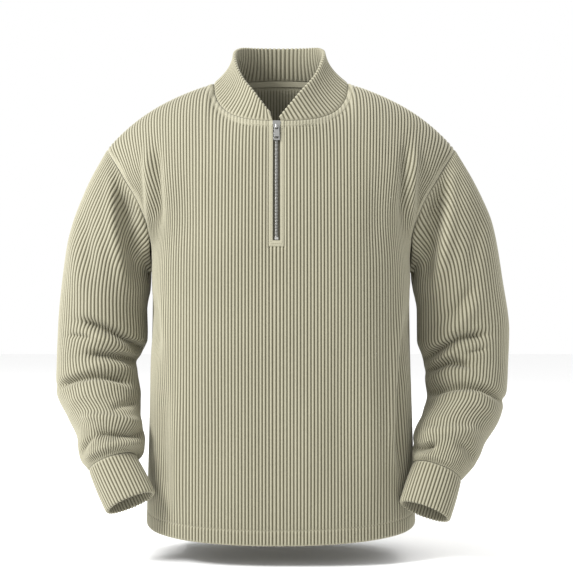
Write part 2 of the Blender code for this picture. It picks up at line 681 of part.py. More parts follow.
def place(name, location, tilt, home, parent=None):
    """An empty whose x runs to the image's right, y up along the zip and z out of the cloth."""
    spot = bpy.data.objects.new(name, None)
    spot.location = location
    spot.rotation_euler = (tilt, 0.0, 0.0)
    spot.parent = parent
    home.objects.link(spot)
    return spot


def join_to(piece, cutters, other):
    """One solid from a piece and another that sinks into it."""
    cutters.objects.link(other)
    other.hide_render = True
    other.display_type = "WIRE"
    modifier = piece.modifiers.new(other.name, "BOOLEAN")
    modifier.operation = "UNION"
    modifier.object = other


def block(name, size, middle):
    """A box as its own object, in no collection yet."""
    work = bmesh.new()
    bmesh.ops.create_cube(work, size=1.0)
    bmesh.ops.scale(work, vec=size, verts=work.verts)
    bmesh.ops.translate(work, vec=middle, verts=work.verts)
    data = bpy.data.meshes.new(name)
    work.to_mesh(data)
    work.free()
    return bpy.data.objects.new(name, data)


def slider(spot, home, cutters, look):
    """The slider: a tapered front plate, its wedge between the teeth, and the bridge for the pull."""
    plate_thick = SLIDER_FACE - SLIDER_BACK
    plate = flat_piece("zip_slider", [rounded(SLIDER_TOP_WIDTH, SLIDER_END_WIDTH, 0.0,
                                              -SLIDER_LENGTH, 0.0018)], plate_thick, look, home)
    plate.parent = spot
    plate.location = (0.0, 0.0, (SLIDER_FACE + SLIDER_BACK) / 2)
    wedge_top = SLIDER_BACK + plate_thick / 2
    wedge = block("wedge", (WEDGE_WIDTH, WEDGE_LENGTH, wedge_top - WEDGE_BACK),
                  (0.0, -SLIDER_LENGTH / 2, (wedge_top + WEDGE_BACK) / 2))
    low, high = -HINGE_DOWN - BRIDGE_BELOW, -HINGE_DOWN + BRIDGE_ABOVE
    arch_under = HINGE_OUT + BRIDGE_ROOM
    arch_top = arch_under + BRIDGE_THICK
    sunk = SLIDER_FACE - 0.0005
    span = block("bridge", (BRIDGE_WIDTH, high - low, arch_top - sunk),
                 (0.0, (low + high) / 2, (arch_top + sunk) / 2))
    edges = span.modifiers.new("edges", "BEVEL")
    edges.width = 0.0005
    edges.segments = 2
    gap = block("bridge_gap", (BRIDGE_WIDTH * 2, high - low - 2 * BRIDGE_THICK,
                               arch_under - SLIDER_FACE),
                (0.0, (low + high) / 2, (arch_under + SLIDER_FACE) / 2))
    for other in (wedge, span, gap):
        other.parent = spot
    join_to(plate, cutters, wedge)
    join_to(plate, cutters, span)
    cutters.objects.link(gap)
    gap.hide_render = True
    gap.display_type = "WIRE"
    opening = plate.modifiers.new("bridge_gap", "BOOLEAN")
    opening.operation = "DIFFERENCE"
    opening.object = gap


def pull_tab(hinge, home, look):
    """The pull: a plate with a window that the bridge passes through, and a slot near its end."""
    top, foot = CROSSBAR / 2, CROSSBAR / 2 - PULL_LENGTH
    window_top = -CROSSBAR / 2
    slot_foot = foot + SLOT_UP
    piece = flat_piece("zip_pull", [
        rounded(PULL_WIDTH * 0.86, PULL_WIDTH, top, foot, 0.0006),
        rounded(WINDOW_WIDTH, WINDOW_WIDTH, window_top, window_top - WINDOW_LENGTH, 0.0004, 2),
        rounded(SLOT_WIDTH, SLOT_WIDTH, slot_foot + SLOT_LENGTH, slot_foot, 0.0008, 3),
    ], PULL_THICK, look, home)
    piece.parent = hinge


# ---------------------------------------------------------------- the pullover

def main():
    home = empty_scene()
    cutters = bpy.data.collections.new("cutters")
    bpy.context.scene.collection.children.link(cutters)

    knit = (0.545, 0.520, 0.370)
    front = front_panel(home, material("front_rib_knit", knit, 0.9))
    back = back_panel(home, material("back_rib_knit", knit, 0.9))
    for side, name, rings, end in ((-1.0, "right", IMAGE_LEFT_RINGS, IMAGE_LEFT_CUFF),
                                   (1.0, "left", IMAGE_RIGHT_RINGS, IMAGE_RIGHT_CUFF)):
        sleeve_look = material(f"{name}_sleeve_rib_knit", knit, 0.9)
        cuff_look = material(f"{name}_cuff_rib_knit", knit, 0.9)
        axis = sleeve(f"sleeve_{name}", rings, end, side, front, back, home, sleeve_look)
        cuff(f"cuff_{name}", rings[-1], end, side, axis, home, cuff_look)
    collar(front, back, home, material("collar_rib_knit", knit, 0.9))
    neck_tape(*back, home, material("neck_tape_twill", (0.500, 0.475, 0.330), 0.85))

    steel = material("zip_metal", (0.62, 0.62, 0.60), 0.3, 1.0)
    teeth = material("zip_teeth_metal", (0.30, 0.30, 0.28), 0.35, 1.0)
    zip_cloth_and_chain(*front, home, material("zip_tape_cloth", (0.400, 0.380, 0.270), 0.85), teeth)

    base = front[0]
    centre = 2 * PANEL_HALF_RIBS + MIDDLE_RIBS
    upward = unit(base[-1, centre] - base[-2, centre])
    tilt = math.atan2(upward[2], upward[1])
    spot = place("zip_place", base[-1, centre] - upward * SLIDER_TOP, tilt, home)
    slider(spot, home, cutters, steel)
    hinge = place("pull_hinge", (0.0, -HINGE_DOWN, HINGE_OUT), PULL_LEAN, home, spot)
    pull_tab(hinge, home, material("zip_pull_metal", (0.68, 0.68, 0.66), 0.25, 1.0))


main()
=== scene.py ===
"""A quarter-zip pullover in rib knit, filled out as if worn, open at the neck, hem and cuffs.

Metres, +Z up, -Y the front, the origin midway between the high points of the shoulders. Left and
right are the wearer's, but a name with IMAGE in it has the side that the photo shows.
"""
import math
from collections import namedtuple

import bpy
import numpy as np
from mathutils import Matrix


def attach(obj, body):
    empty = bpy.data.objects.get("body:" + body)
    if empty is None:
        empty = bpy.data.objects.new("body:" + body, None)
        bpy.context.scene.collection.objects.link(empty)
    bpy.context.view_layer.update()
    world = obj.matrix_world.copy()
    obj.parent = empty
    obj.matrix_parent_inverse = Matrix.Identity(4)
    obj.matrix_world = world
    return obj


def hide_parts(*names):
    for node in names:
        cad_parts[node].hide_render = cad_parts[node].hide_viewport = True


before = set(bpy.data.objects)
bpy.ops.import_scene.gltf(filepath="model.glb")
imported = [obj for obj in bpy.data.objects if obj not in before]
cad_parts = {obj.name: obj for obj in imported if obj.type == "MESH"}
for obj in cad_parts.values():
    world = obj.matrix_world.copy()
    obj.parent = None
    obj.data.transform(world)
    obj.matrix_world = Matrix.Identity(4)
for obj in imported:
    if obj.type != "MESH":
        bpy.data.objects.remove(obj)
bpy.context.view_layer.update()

# ------------------------------------------------------------------ front and back panels
# The body is two panels cut from one wide rib knit, sewn together at the sides and shoulders.
# The ribs run up and down. Below the collar's seam and along the armholes the cloth is turned in
# and stitched flat, the hem is turned up once, and the front has a slit for the zip.

SEAM_GAP = 0.0003
CLOTH = 0.0014
RIB_RELIEF = 0.0015
RIB_COLUMNS = 6            # columns of faces across one rib
FRONT_HALF_RIBS, BACK_HALF_RIBS, MIDDLE_RIBS = 54, 55, 2
FRONT_CUT = {"flat": (0.56, 0.68), "area": 0.345}
BACK_CUT = {"flat": (0.56, 0.70), "area": 0.355}
# The second colour is painted shade: the grooves are coloured much darker than the crests, standing in for
# the shade that falls between the ribs.
KNIT_CREST, KNIT_GROOVE_PAINTED_SHADE = (0.330, 0.313, 0.230), (0.082, 0.074, 0.042)
SHEEN = (0.95, 0.93, 0.84)
LOOP = 0.0021              # length of one knit loop

NECK_HALF_WIDTH = 0.1035
NECK_FRONT, NECK_BACK = 0.095, 0.075
NECK_DROP, NECK_RISE = 0.0667, 0.015
NECK_SQUARE = 1.25
NECK_LEAN, NECK_SIDE_LEAN = 19, 32        # degrees that the cloth at the neck faces up, and more beside it
SHOULDER_X, SHOULDER_DROP = 0.265, 0.100
SHOULDER_BEND = 0.42       # share of the drop that comes only towards the arm
SHOULDER_ROUND = 0.8       # how far the cloth rounds over at the shoulder seams
TOP_EDGE_EVEN = 0.03
RIB_PITCH, STRAIGHT_RIBS = 0.00495, 22    # even ribs from the middle of a panel out to so many
EASE = 0.030               # the ribs run smoothly past changes of the form of this length
EVEN_COLUMNS = 30          # columns to each side over which the slope at the top is evened out

ZIP_X, ZIP_OPENING = -0.006, 0.011
ZIP_FRAME = 0.0056         # width of the plain frame round the opening
ZIP_FOOT_FRAME = 0.0085
ZIP_FOOT_UP = 0.0120       # the slit's foot is so far above the underarm row of the table
NECK_BAND, HEM_BAND, ARMHOLE_BAND = 0.0100, 0.0220, 0.0055
NECK_RIBS_KEPT = 0.55      # share of the ribs' height left in the band at the neck
BAND_RISE, BAND_GROOVE = 0.0008, 0.0018   # a turned band stands out, with a groove past its edge
HEM_EDGE, HEM_TURNED = 0.0016, 0.0010
STITCH_IN = 0.0018         # from a band's edge in to its row of stitches

HEM_LEVELS = (0.0, 0.0004, 0.0010, 0.0018, 0.0040, 0.0085, 0.0135, 0.0180)
HEM_BAND_LEVELS = HEM_BAND + np.array([-0.0022, -0.0010, 0.0, 0.0010, 0.0022])
ZIP_FOOT_LEVELS = np.array([-0.0018, -0.0006, 0.0004, 0.0014, 0.0040, 0.0068]) - ZIP_FOOT_FRAME
BELLY_FROM, BELLY_TO, CHEST_PAST = 0.0300, 0.0050, 0.02
TOP_LEVELS = np.array([0.0011, 0.0004, 0.0])

PanelRow = namedtuple("PanelRow", "face_z edge_z half_width face_y edge_y turn power")
FRONT_ROWS = [
    PanelRow(-0.6880, -0.668, 0.2040, -0.146, -0.00015, 90, 2.7),
    PanelRow(-0.4500, -0.445, 0.1980, -0.148, -0.00015, 90, 2.7),
    PanelRow(-0.2570, -0.290, 0.1960, -0.141, -0.00015, 90, 2.7),
    PanelRow(-0.2050, -0.243, 0.1965, -0.134, -0.0450, 76, 2.6),
    PanelRow(-0.1550, -0.192, 0.2118, -0.1235, -0.0580, 64, 2.5),
    PanelRow(-0.1100, -0.143, 0.2410, -0.110, -0.0430, 54, 2.4),
]
BACK_ROWS = [
    PanelRow(-0.6800, -0.668, 0.2040, 0.128, 0.00015, 90, 2.7),
    PanelRow(-0.4500, -0.445, 0.1980, 0.128, 0.00015, 90, 2.7),
    PanelRow(-0.2700, -0.290, 0.1960, 0.133, 0.00015, 90, 2.7),
    PanelRow(-0.2000, -0.243, 0.1965, 0.131, 0.0450, 76, 2.6),
    PanelRow(-0.1280, -0.192, 0.2118, 0.122, 0.0560, 64, 2.5),
    PanelRow(-0.0580, -0.143, 0.2410, 0.104, 0.0400, 54, 2.4),
]
UNDERARM_ROW = SLIT_ROW = 2
ARM_COLUMNS = 60           # columns at each side within which an armhole's band lies

# A fold is a line over the cloth seen from the front, as (x, z) points: how far it stands out (or
# in, below zero), how wide it is, and what share of it runs out at each end.
Fold = namedtuple("Fold", "depth width run_out line")
FOLD_END = 0.12            # share of its depth that a fold has at its very ends
FRONT_FOLDS = [
    Fold(0.0055, 0.0065, 0.25, [(-0.202, -0.094), (-0.198, -0.163), (-0.195, -0.210),
                                (-0.191, -0.262)]),
    Fold(-0.0085, 0.0080, 0.30, [(-0.188, -0.088), (-0.184, -0.134), (-0.182, -0.179),
                                 (-0.180, -0.236)]),
    Fold(-0.0030, 0.0090, 0.40, [(-0.214, -0.125), (-0.209, -0.160), (-0.204, -0.200)]),
    Fold(0.0052, 0.0065, 0.25, [(0.203, -0.094), (0.197, -0.150), (0.194, -0.192), (0.190, -0.256)]),
    Fold(-0.0078, 0.0080, 0.30, [(0.189, -0.088), (0.184, -0.134), (0.182, -0.179), (0.180, -0.232)]),
    Fold(-0.0030, 0.0090, 0.40, [(0.215, -0.120), (0.210, -0.160), (0.205, -0.200)]),
    Fold(0.0045, 0.0090, 0.30, [(0.184, -0.300), (0.177, -0.369), (0.171, -0.406), (0.166, -0.458),
                                (0.163, -0.525), (0.166, -0.600)]),
    Fold(-0.0120, 0.0100, 0.30, [(0.195, -0.320), (0.187, -0.392), (0.181, -0.460), (0.178, -0.542),
                                 (0.181, -0.622)]),
    Fold(0.0020, 0.0090, 0.40, [(-0.181, -0.310), (-0.177, -0.362), (-0.172, -0.406)]),
    Fold(-0.0085, 0.0090, 0.40, [(-0.192, -0.310), (-0.188, -0.362), (-0.184, -0.430)]),
    Fold(-0.0055, 0.0120, 0.35, [(-0.172, -0.430), (-0.175, -0.553), (-0.172, -0.627),
                                 (-0.166, -0.671)]),
    Fold(0.0025, 0.0120, 0.40, [(-0.148, -0.450), (-0.150, -0.560), (-0.146, -0.680)]),
    Fold(0.0022, 0.0160, 0.40, [(0.132, -0.400), (0.136, -0.520), (0.134, -0.680)]),
    Fold(-0.0020, 0.0200, 0.45, [(-0.090, -0.420), (-0.094, -0.560), (-0.092, -0.680)]),
    Fold(-0.0022, 0.0200, 0.45, [(0.085, -0.330), (0.088, -0.480), (0.084, -0.640)]),
    Fold(0.0018, 0.0220, 0.45, [(0.035, -0.430), (0.040, -0.560), (0.036, -0.690)]),
    Fold(-0.0020, 0.0140, 0.45, [(-0.140, -0.120), (-0.142, -0.190), (-0.134, -0.270)]),
    Fold(-0.0018, 0.0150, 0.45, [(0.138, -0.125), (0.140, -0.200), (0.130, -0.290)]),
]
BACK_FOLDS = [
    Fold(0.0035, 0.0070, 0.25, [(-0.204, -0.094), (-0.197, -0.150), (-0.192, -0.225)]),
    Fold(-0.0052, 0.0090, 0.35, [(-0.186, -0.080), (-0.181, -0.140), (-0.178, -0.232)]),
    Fold(0.0034, 0.0070, 0.25, [(0.205, -0.090), (0.199, -0.160), (0.194, -0.240)]),
    Fold(-0.0048, 0.0090, 0.35, [(0.187, -0.090), (0.183, -0.150), (0.179, -0.246)]),
    Fold(-0.0058, 0.0120, 0.35, [(-0.182, -0.330), (-0.176, -0.430), (-0.170, -0.540),
                                 (-0.172, -0.650)]),
    Fold(0.0030, 0.0130, 0.40, [(-0.150, -0.400), (-0.146, -0.520), (-0.148, -0.670)]),
    Fold(-0.0062, 0.0110, 0.35, [(0.184, -0.350), (0.178, -0.450), (0.171, -0.560), (0.168, -0.660)]),
    Fold(0.0028, 0.0130, 0.40, [(0.150, -0.440), (0.147, -0.560), (0.144, -0.670)]),
    Fold(-0.0030, 0.0220, 0.45, [(-0.070, -0.280), (-0.082, -0.440), (-0.088, -0.640)]),
    Fold(-0.0026, 0.0200, 0.45, [(0.064, -0.330), (0.080, -0.480), (0.082, -0.670)]),
    Fold(0.0024, 0.0240, 0.45, [(0.005, -0.360), (-0.002, -0.520), (0.003, -0.670)]),
    Fold(-0.0024, 0.0140, 0.45, [(-0.060, -0.052), (-0.110, -0.085), (-0.165, -0.150)]),
    Fold(-0.0024, 0.0140, 0.45, [(0.066, -0.056), (0.114, -0.092), (0.160, -0.160)]),
]


def unit(vectors):
    vectors = np.asarray(vectors, dtype=float)
    return vectors / np.linalg.norm(vectors, axis=-1, keepdims=True)


def soft_step(values, start, end):
    t = np.clip((np.asarray(values, dtype=float) - start) / (end - start), 0.0, 1.0)
    return t * t * (3 - 2 * t)


def bell(values, width):
    return np.exp(-(values / width) ** 2)


def smooth_rows(stops, rows, wanted, last_slope=None):
    """Rows at the wanted places, on smooth lines through the given rows that never overshoot."""
    stops, wanted = np.asarray(stops, float), np.asarray(wanted, float)
    steps = np.diff(stops).reshape(-1, 1, 1)
    rises = np.diff(rows, axis=0) / steps
    slopes = np.empty_like(rows)
    slopes[0] = rises[0]
    slopes[-1] = rises[-1] if last_slope is None else last_slope
    before, after = rises[:-1], rises[1:]
    near, far = 2 * steps[1:] + steps[:-1], steps[1:] + 2 * steps[:-1]
    level = before * after <= 1e-18
    slopes[1:-1] = np.where(level, 0.0, (near + far) / (near / np.where(level, 1.0, before)
                                                        + far / np.where(level, 1.0, after)))
    k = np.clip(np.searchsorted(stops, wanted, side="right") - 1, 0, len(stops) - 2)
    t = ((wanted - stops[k]) / np.diff(stops)[k]).reshape(-1, 1, 1)
    span = steps[k]
    return (rows[k] * (1 + 2 * t) * (1 - t) ** 2 + rows[k + 1] * t * t * (3 - 2 * t)
            + slopes[k] * span * t * (1 - t) ** 2 - slopes[k + 1] * span * t * t * (1 - t))


def nearest(points, line):
    """Each point's distance from a line of points, and its place along it as a share."""
    line = np.asarray(line, float)
    flat = points.reshape(-1, points.shape[-1])
    runs = np.linalg.norm(np.diff(line, axis=0), axis=1)
    starts = np.concatenate([[0.0], np.cumsum(runs)])
    best, share = np.full(len(flat), np.inf), np.zeros(len(flat))
    for k, (a, ab) in enumerate(zip(line[:-1], np.diff(line, axis=0))):
        t = np.clip((flat - a) @ ab / (ab @ ab), 0.0, 1.0)
        away = np.linalg.norm(flat - a - t[:, None] * ab, axis=1)
        nearer = away < best
        best = np.where(nearer, away, best)
        share = np.where(nearer, (starts[k] + t * runs[k]) / starts[-1], share)
    return best.reshape(points.shape[:-1]), share.reshape(points.shape[:-1])


def fold_depths(points, folds):
    """How far each point moves out or in for the folds, whose lines lie in the front view."""
    moved = np.zeros(points.shape[:-1])
    for fold in folds:
        away, share = nearest(points[..., [0, 2]], fold.line)
        ends = soft_step(share, 0.0, fold.run_out) * soft_step(1 - share, 0.0, fold.run_out)
        moved += fold.depth * bell(away, fold.width) * (FOLD_END + (1 - FOLD_END) * ends)
    return moved


def neck_point(angle):
    """The neckline, by the angle in radians from the front, round the image's left, to the back."""
    forward = math.cos(angle)
    reach = NECK_FRONT if forward > 0 else NECK_BACK
    if forward > 0:
        height = -NECK_DROP * math.sin(NECK_SQUARE * forward) / math.sin(NECK_SQUARE)
    else:
        height = NECK_RISE * abs(forward) ** 1.5
    return np.array([-NECK_HALF_WIDTH * math.sin(angle), -reach * forward, height])


def neck_normal(angle):
    lean = math.radians(NECK_LEAN + NECK_SIDE_LEAN * math.sin(angle) ** 2)
    return np.array([-math.cos(lean) * math.sin(angle), -math.cos(lean) * math.cos(angle),
                     math.sin(lean)])


def top_edge(stage, side, front):
    """Point and normal on a panel's top edge: the neckline up to stage 1, the shoulder seam to 2."""
    if stage <= 1.0:
        turn = stage * math.pi / 2
        angle = turn if front else math.pi - turn
        point = neck_point(angle)
        point[1] += (-SEAM_GAP if front else SEAM_GAP) / 2 * stage ** 8
        return point * (-side, 1.0, 1.0), neck_normal(angle) * (-side, 1.0, 1.0)
    share, width = stage - 1.0, SHOULDER_X - NECK_HALF_WIDTH
    height = -SHOULDER_DROP * ((1 - SHOULDER_BEND) * share + SHOULDER_BEND * share ** 3)
    slope = SHOULDER_DROP * (1 - SHOULDER_BEND + 3 * SHOULDER_BEND * share ** 2) / width
    seam = -SEAM_GAP / 2 if front else SEAM_GAP / 2
    point = np.array([side * (NECK_HALF_WIDTH + width * share), seam, height])
    return point, unit([side * slope, 0.0, 1.0])


def rib_run(total, ribs, count):
    """How far out along a half row its columns lie: even in the middle, then wider or closer."""
    number = np.linspace(0.0, ribs, count)
    beyond = np.maximum(number - STRAIGHT_RIBS, 0.0) / (ribs - STRAIGHT_RIBS)
    return RIB_PITCH * number + (total - RIB_PITCH * ribs) * beyond ** 2


def top_half(start, half_ribs, side, front):
    """A panel's top edge from the start x outwards: points and normals, one for each column."""
    stages = np.linspace(math.asin(start / NECK_HALF_WIDTH) * 2 / math.pi, 2.0, 900)
    points = np.array([top_edge(stage, side, front)[0] for stage in stages])
    steps = np.diff(points, axis=0)
    weight = np.abs(steps[:, 0]) + TOP_EDGE_EVEN * np.linalg.norm(steps, axis=1)
    run = np.concatenate([[0.0], np.cumsum(weight)])
    lines = 2 * half_ribs
    wanted = np.interp(rib_run(run[-1], half_ribs, lines + 1), run, stages)
    wanted[np.argmin(np.abs(wanted - 1.0))] = 1.0
    fine = np.interp(np.linspace(0, lines, half_ribs * RIB_COLUMNS + 1), np.arange(lines + 1), wanted)
    return [np.array(column) for column in zip(*(top_edge(stage, side, front) for stage in fine))]


def half_row(row, start, half_ribs, side):
    """Points of one row of a panel, from the start x out to the edge on one side."""
    past_middle = -0.02
    turns = np.radians(np.linspace(0, row.turn, 400))
    along_x = np.sin(turns) ** (2 / row.power)
    along_y = np.cos(turns) ** (2 / row.power)
    x = row.half_width * along_x / along_x[-1]
    y = row.edge_y + (row.face_y - row.edge_y) * (along_y - along_y[-1]) / (1 - along_y[-1])
    x, y = np.concatenate([[past_middle], x]), np.concatenate([[row.face_y], y])
    arc = np.concatenate([[0.0], np.cumsum(np.hypot(np.diff(x), np.diff(y)))])
    first = np.interp(start, x, arc)
    shares = np.linspace(0.0, 1.0, half_ribs * RIB_COLUMNS + 1)
    wanted = first + rib_run(arc[-1] - first, half_ribs, len(shares))
    z = row.face_z + (row.edge_z - row.face_z) * shares ** 2
    return np.stack([side * np.interp(wanted, arc, x), np.interp(wanted, arc, y), z], axis=1)


def across_both(left, right, middle):
    """One line from two halves that run outwards, with so many steps between their inner ends."""
    if not middle:
        return np.vstack([left[::-1], right[1:]])
    between = np.linspace(left[0], right[0], middle + 1)[1:-1]
    return np.vstack([left[::-1], between, right])


def row_levels(stops, slit, front):
    """How far up the cloth its rows of points lie, closer together at its edges and bands."""
    levels = [*HEM_LEVELS, *HEM_BAND_LEVELS]
    levels += list(np.linspace(BELLY_FROM, slit - ZIP_FOOT_FRAME - BELLY_TO, 54 if front else 50))
    if front:
        levels = sorted([*levels, *(slit + ZIP_FOOT_LEVELS), stops[SLIT_ROW]])
    levels += list(np.linspace(slit, stops[-2] + CHEST_PAST, 30 if front else 28))
    levels += list(np.linspace(stops[-2] + CHEST_PAST, stops[-1] - 2 * TOP_LEVELS[0], 14)[1:])
    return np.array([*levels, *(stops[-1] - TOP_LEVELS)])


def eased_rows(stops, given, levels, last_slope):
    """The rows again, each a soft average of the form over a stretch above and below it."""
    steps = np.linspace(-2.0, 2.0, 17)
    weights = np.exp(-steps ** 2)
    rows = [smooth_rows(stops, given, np.clip(levels + step * EASE, 0, stops[-1]), last_slope)
            for step in steps]
    return sum(weight * row for weight, row in zip(weights, rows)) / weights.sum()


def grid_normals(base, facing=1.0):
    return unit(np.cross(np.gradient(base, axis=1), np.gradient(base, axis=0)) * facing)


def hem_rounding(levels):
    """How far the hem's edge rounds off each side of the cloth."""
    return CLOTH / 2 * (1 - np.sqrt(1 - (1 - np.clip(levels / HEM_EDGE, 0, 1)) ** 2))


def pressed_flat(base, levels, slit, neck_far, arm_far, seam_far):
    """How far the bands and seams leave a panel's ribs standing, and how they lift the cloth."""
    calm, lift = np.ones(base.shape[:2]), np.zeros(base.shape[:2])
    for far, band, kept in ((neck_far, NECK_BAND, NECK_RIBS_KEPT), (arm_far, ARMHOLE_BAND, 0.0)):
        inside = 1 - soft_step(far, band - 0.0008, band + 0.0008)
        calm *= 1 - (1 - kept) * inside
        lift += BAND_RISE * inside * soft_step(far, 0.0, 0.0012)
        lift -= BAND_GROOVE * bell(far - band - 0.0009, 0.0010)
        calm *= 1 - 0.8 * bell(far - band + STITCH_IN, 0.0011)
    hem_far = levels[:, None]
    calm *= 1 - 0.45 * bell(hem_far - HEM_BAND, 0.0012)
    lift -= 0.0005 * bell(hem_far - HEM_BAND, 0.0011)
    lift -= 0.0007 * bell(seam_far, 0.0012)
    calm *= 0.35 + 0.65 * soft_step(seam_far, 0.0, 0.0025)
    if slit:
        beside = np.maximum(np.abs(base[..., 0] - ZIP_X) - ZIP_OPENING / 2, 0.0)
        below = np.maximum(slit - hem_far, 0.0)
        frame_far = np.maximum(beside / ZIP_FRAME, below / ZIP_FOOT_FRAME)
        inside = 1 - soft_step(frame_far, 0.92, 1.08)
        calm *= 1 - inside
        lift += 0.0010 * inside
        lift -= BAND_GROOVE * bell(frame_far - 1.14, 0.14)
    return calm, lift - hem_rounding(hem_far)


Panel = namedtuple("Panel", "base normals levels stops calm lift neck_far arm_far")


def panel_form(front):
    """A panel's smooth form, before its ribs stand up, and how flat its bands press them."""
    rows, folds = (FRONT_ROWS, FRONT_FOLDS) if front else (BACK_ROWS, BACK_FOLDS)
    half_ribs, facing = (FRONT_HALF_RIBS, 1.0) if front else (BACK_HALF_RIBS, -1.0)
    middle = MIDDLE_RIBS * RIB_COLUMNS if front else 0
    halves = [(ZIP_OPENING / 2 + side * ZIP_X if front else 0.0, side) for side in (-1.0, 1.0)]
    given = [across_both(*(half_row(row, start, half_ribs, side) for start, side in halves), middle)
             for row in rows]
    tops = [top_half(start, half_ribs, side, front) for start, side in halves]
    top, top_normals = (across_both(*sides, middle) for sides in zip(*tops))
    given, top_normals = np.array([*given, top]), unit(top_normals)

    runs = np.linalg.norm(np.diff(given, axis=0), axis=2)
    stops = np.concatenate([[0.0], np.cumsum(runs.mean(axis=1))])
    toward = given[-1] - given[-2]
    spread = np.ones(2 * EVEN_COLUMNS + 1) / (2 * EVEN_COLUMNS + 1)
    even = unit(np.stack([np.convolve(np.pad(column, EVEN_COLUMNS, mode="edge"), spread, "valid")
                          for column in top_normals.T], axis=1))
    upward = unit(toward - even * np.sum(toward * even, axis=1, keepdims=True))
    last_slope = upward * (runs[-1] / (stops[-1] - stops[-2]))[:, None] * SHOULDER_ROUND

    slit = stops[SLIT_ROW] + (ZIP_FOOT_UP if front else 0.0)
    levels = row_levels(stops, slit, front)
    base = smooth_rows(stops, given, levels, last_slope)
    out_share = np.abs(np.linspace(-1.0, 1.0, base.shape[1]))
    inside = (soft_step(1 - out_share, 0.0, 0.22)[None, :]
              * (soft_step(levels, 0.05, 0.2) * soft_step(stops[-1] - levels, 0.004, 0.09))[:, None])
    base = base + (eased_rows(stops, given, levels, last_slope) - base) * inside[..., None]

    neck = np.abs(top[:, 0]) <= NECK_HALF_WIDTH + 1e-6
    beside_slit = ((top[:, 0] - ZIP_X) * side > ZIP_OPENING / 2 - 1e-6 for side in (-1.0, 1.0))
    neck_lines = [top[neck & part] for part in beside_slit] if front else [top[neck]]
    neck_far, arm_far = np.ones(base.shape[:2]), np.ones(base.shape[:2])
    upper = levels > stops[-2] - 0.01
    for line in neck_lines:
        neck_far[upper] = np.minimum(neck_far[upper], nearest(base[upper], line[::4])[0])
    arm_rows = levels >= stops[UNDERARM_ROW] - 1e-9
    for column, columns in ((0, slice(0, ARM_COLUMNS)), (-1, slice(-ARM_COLUMNS, None))):
        arm_far[arm_rows, columns] = nearest(base[arm_rows][:, columns], base[arm_rows, column])[0]

    top_far = np.minimum(levels[-1] - levels, 1.0)[:, None]
    side_far = ((1 - out_share) * 0.30)[None, :]
    fold = fold_depths(base, folds) * soft_step(side_far, 0.0, 0.012) * soft_step(arm_far, 0.0, 0.012)
    fold *= soft_step(neck_far, 0.004, 0.02) * soft_step(top_far, 0.0, 0.012)
    base = base + grid_normals(base, facing) * fold[..., None]
    normals = grid_normals(base, facing)
    normals[-1] = top_normals
    below_arms = levels < stops[UNDERARM_ROW] + 1e-9
    normals[below_arms, 0], normals[below_arms, -1] = (-1.0, 0.0, 0.0), (1.0, 0.0, 0.0)
    calm, lift = pressed_flat(base, levels, slit if front else None, neck_far, arm_far,
                              np.minimum(top_far, side_far))
    return Panel(base, normals, levels, stops, calm, lift, neck_far, arm_far)


def skin_faces(rows, columns, first, hole=None, flip=False, closed=False):
    """Quads over rows and columns of points whose numbers start at first."""
    faces = []
    for row in range(rows - 1):
        for column in range(columns if closed else columns - 1):
            if hole and row >= hole[0] and hole[1] <= column < hole[2]:
                continue
            a, b = first + row * columns + column, first + row * columns + (column + 1) % columns
            quad = (a, b, b + columns, a + columns)
            faces.append(quad[::-1] if flip else quad)
    return faces


def rim_faces(outside, inside, step, flip=False):
    """Faces that close a wall's edge, each past a few outer points and back past two inner ones."""
    faces = []
    for k in range(len(inside) - 1):
        face = (*outside[k * step:(k + 1) * step + 1], inside[k + 1], inside[k])
        faces.append(face[::-1] if flip else face)
    return faces


def outside_out(points, faces):
    """The faces, turned over if they close a volume that is inside out."""
    fans = [(face[0], face[k], face[k + 1]) for face in faces for k in range(1, len(face) - 1)]
    a, b, c = points[np.array(fans)].transpose(1, 0, 2)
    if np.sum(np.cross(a, b) * c) < 0:
        return [tuple(face[::-1]) for face in faces]
    return faces


def put(name, data):
    """An object in the scene, at the origin, with the given data."""
    made = bpy.data.objects.new(name, data)
    bpy.context.scene.collection.objects.link(made)
    return made


def cloth_mesh(name, points, faces, rib, along, round_ribs=0, **numbers):
    """A smooth-shaded mesh whose UV map gives rib and length along it; unused points are left out.

    round_ribs is the number of ribs round a closed tube, where the last rib meets the first.
    """
    faces = outside_out(points, faces)
    used = np.zeros(len(points), bool)
    used[np.concatenate([np.asarray(face) for face in faces])] = True
    renumber = np.cumsum(used) - 1
    data = bpy.data.meshes.new(name)
    data.from_pydata(points[used].tolist(), [], [renumber[list(face)].tolist() for face in faces])
    data.polygons.foreach_set("use_smooth", [True] * len(data.polygons))
    corners = np.empty(len(data.loops), dtype=np.int32)
    data.loops.foreach_get("vertex_index", corners)
    across, lengthwise = rib[used][corners], along[used][corners]
    if round_ribs:
        starts = np.empty(len(data.polygons), dtype=np.int32)
        data.polygons.foreach_get("loop_start", starts)
        counts = np.diff(np.append(starts, len(corners)))
        highest = np.repeat(np.maximum.reduceat(across, starts), counts)
        across = across + round_ribs * (across < highest - round_ribs / 2)
    knit = data.uv_layers.new(name="knit")
    knit.data.foreach_set("uv", np.stack([across, lengthwise], axis=1).astype(np.float32).ravel())
    for key, values in {**numbers, "rib": rib}.items():
        kind, field = ("FLOAT_VECTOR", "vector") if np.ndim(values) == 2 else ("FLOAT", "value")
        spot = data.attributes.new(key, kind, "POINT")
        spot.data.foreach_set(field, np.asarray(values, dtype=np.float32)[used].ravel())
    return put(name, data)


def add_node(tree, kind, links=(), out=0, **settings):
    """A node's output, once the node is set and its inputs are joined or filled, by number or name."""
    node = tree.nodes.new(kind)
    for key, value in settings.items():
        setattr(node, key, value)
    for socket, source in dict(links).items():
        if isinstance(source, bpy.types.NodeSocket):
            tree.links.new(source, node.inputs[socket])
        else:
            node.inputs[socket].default_value = source
    return node.outputs[out]


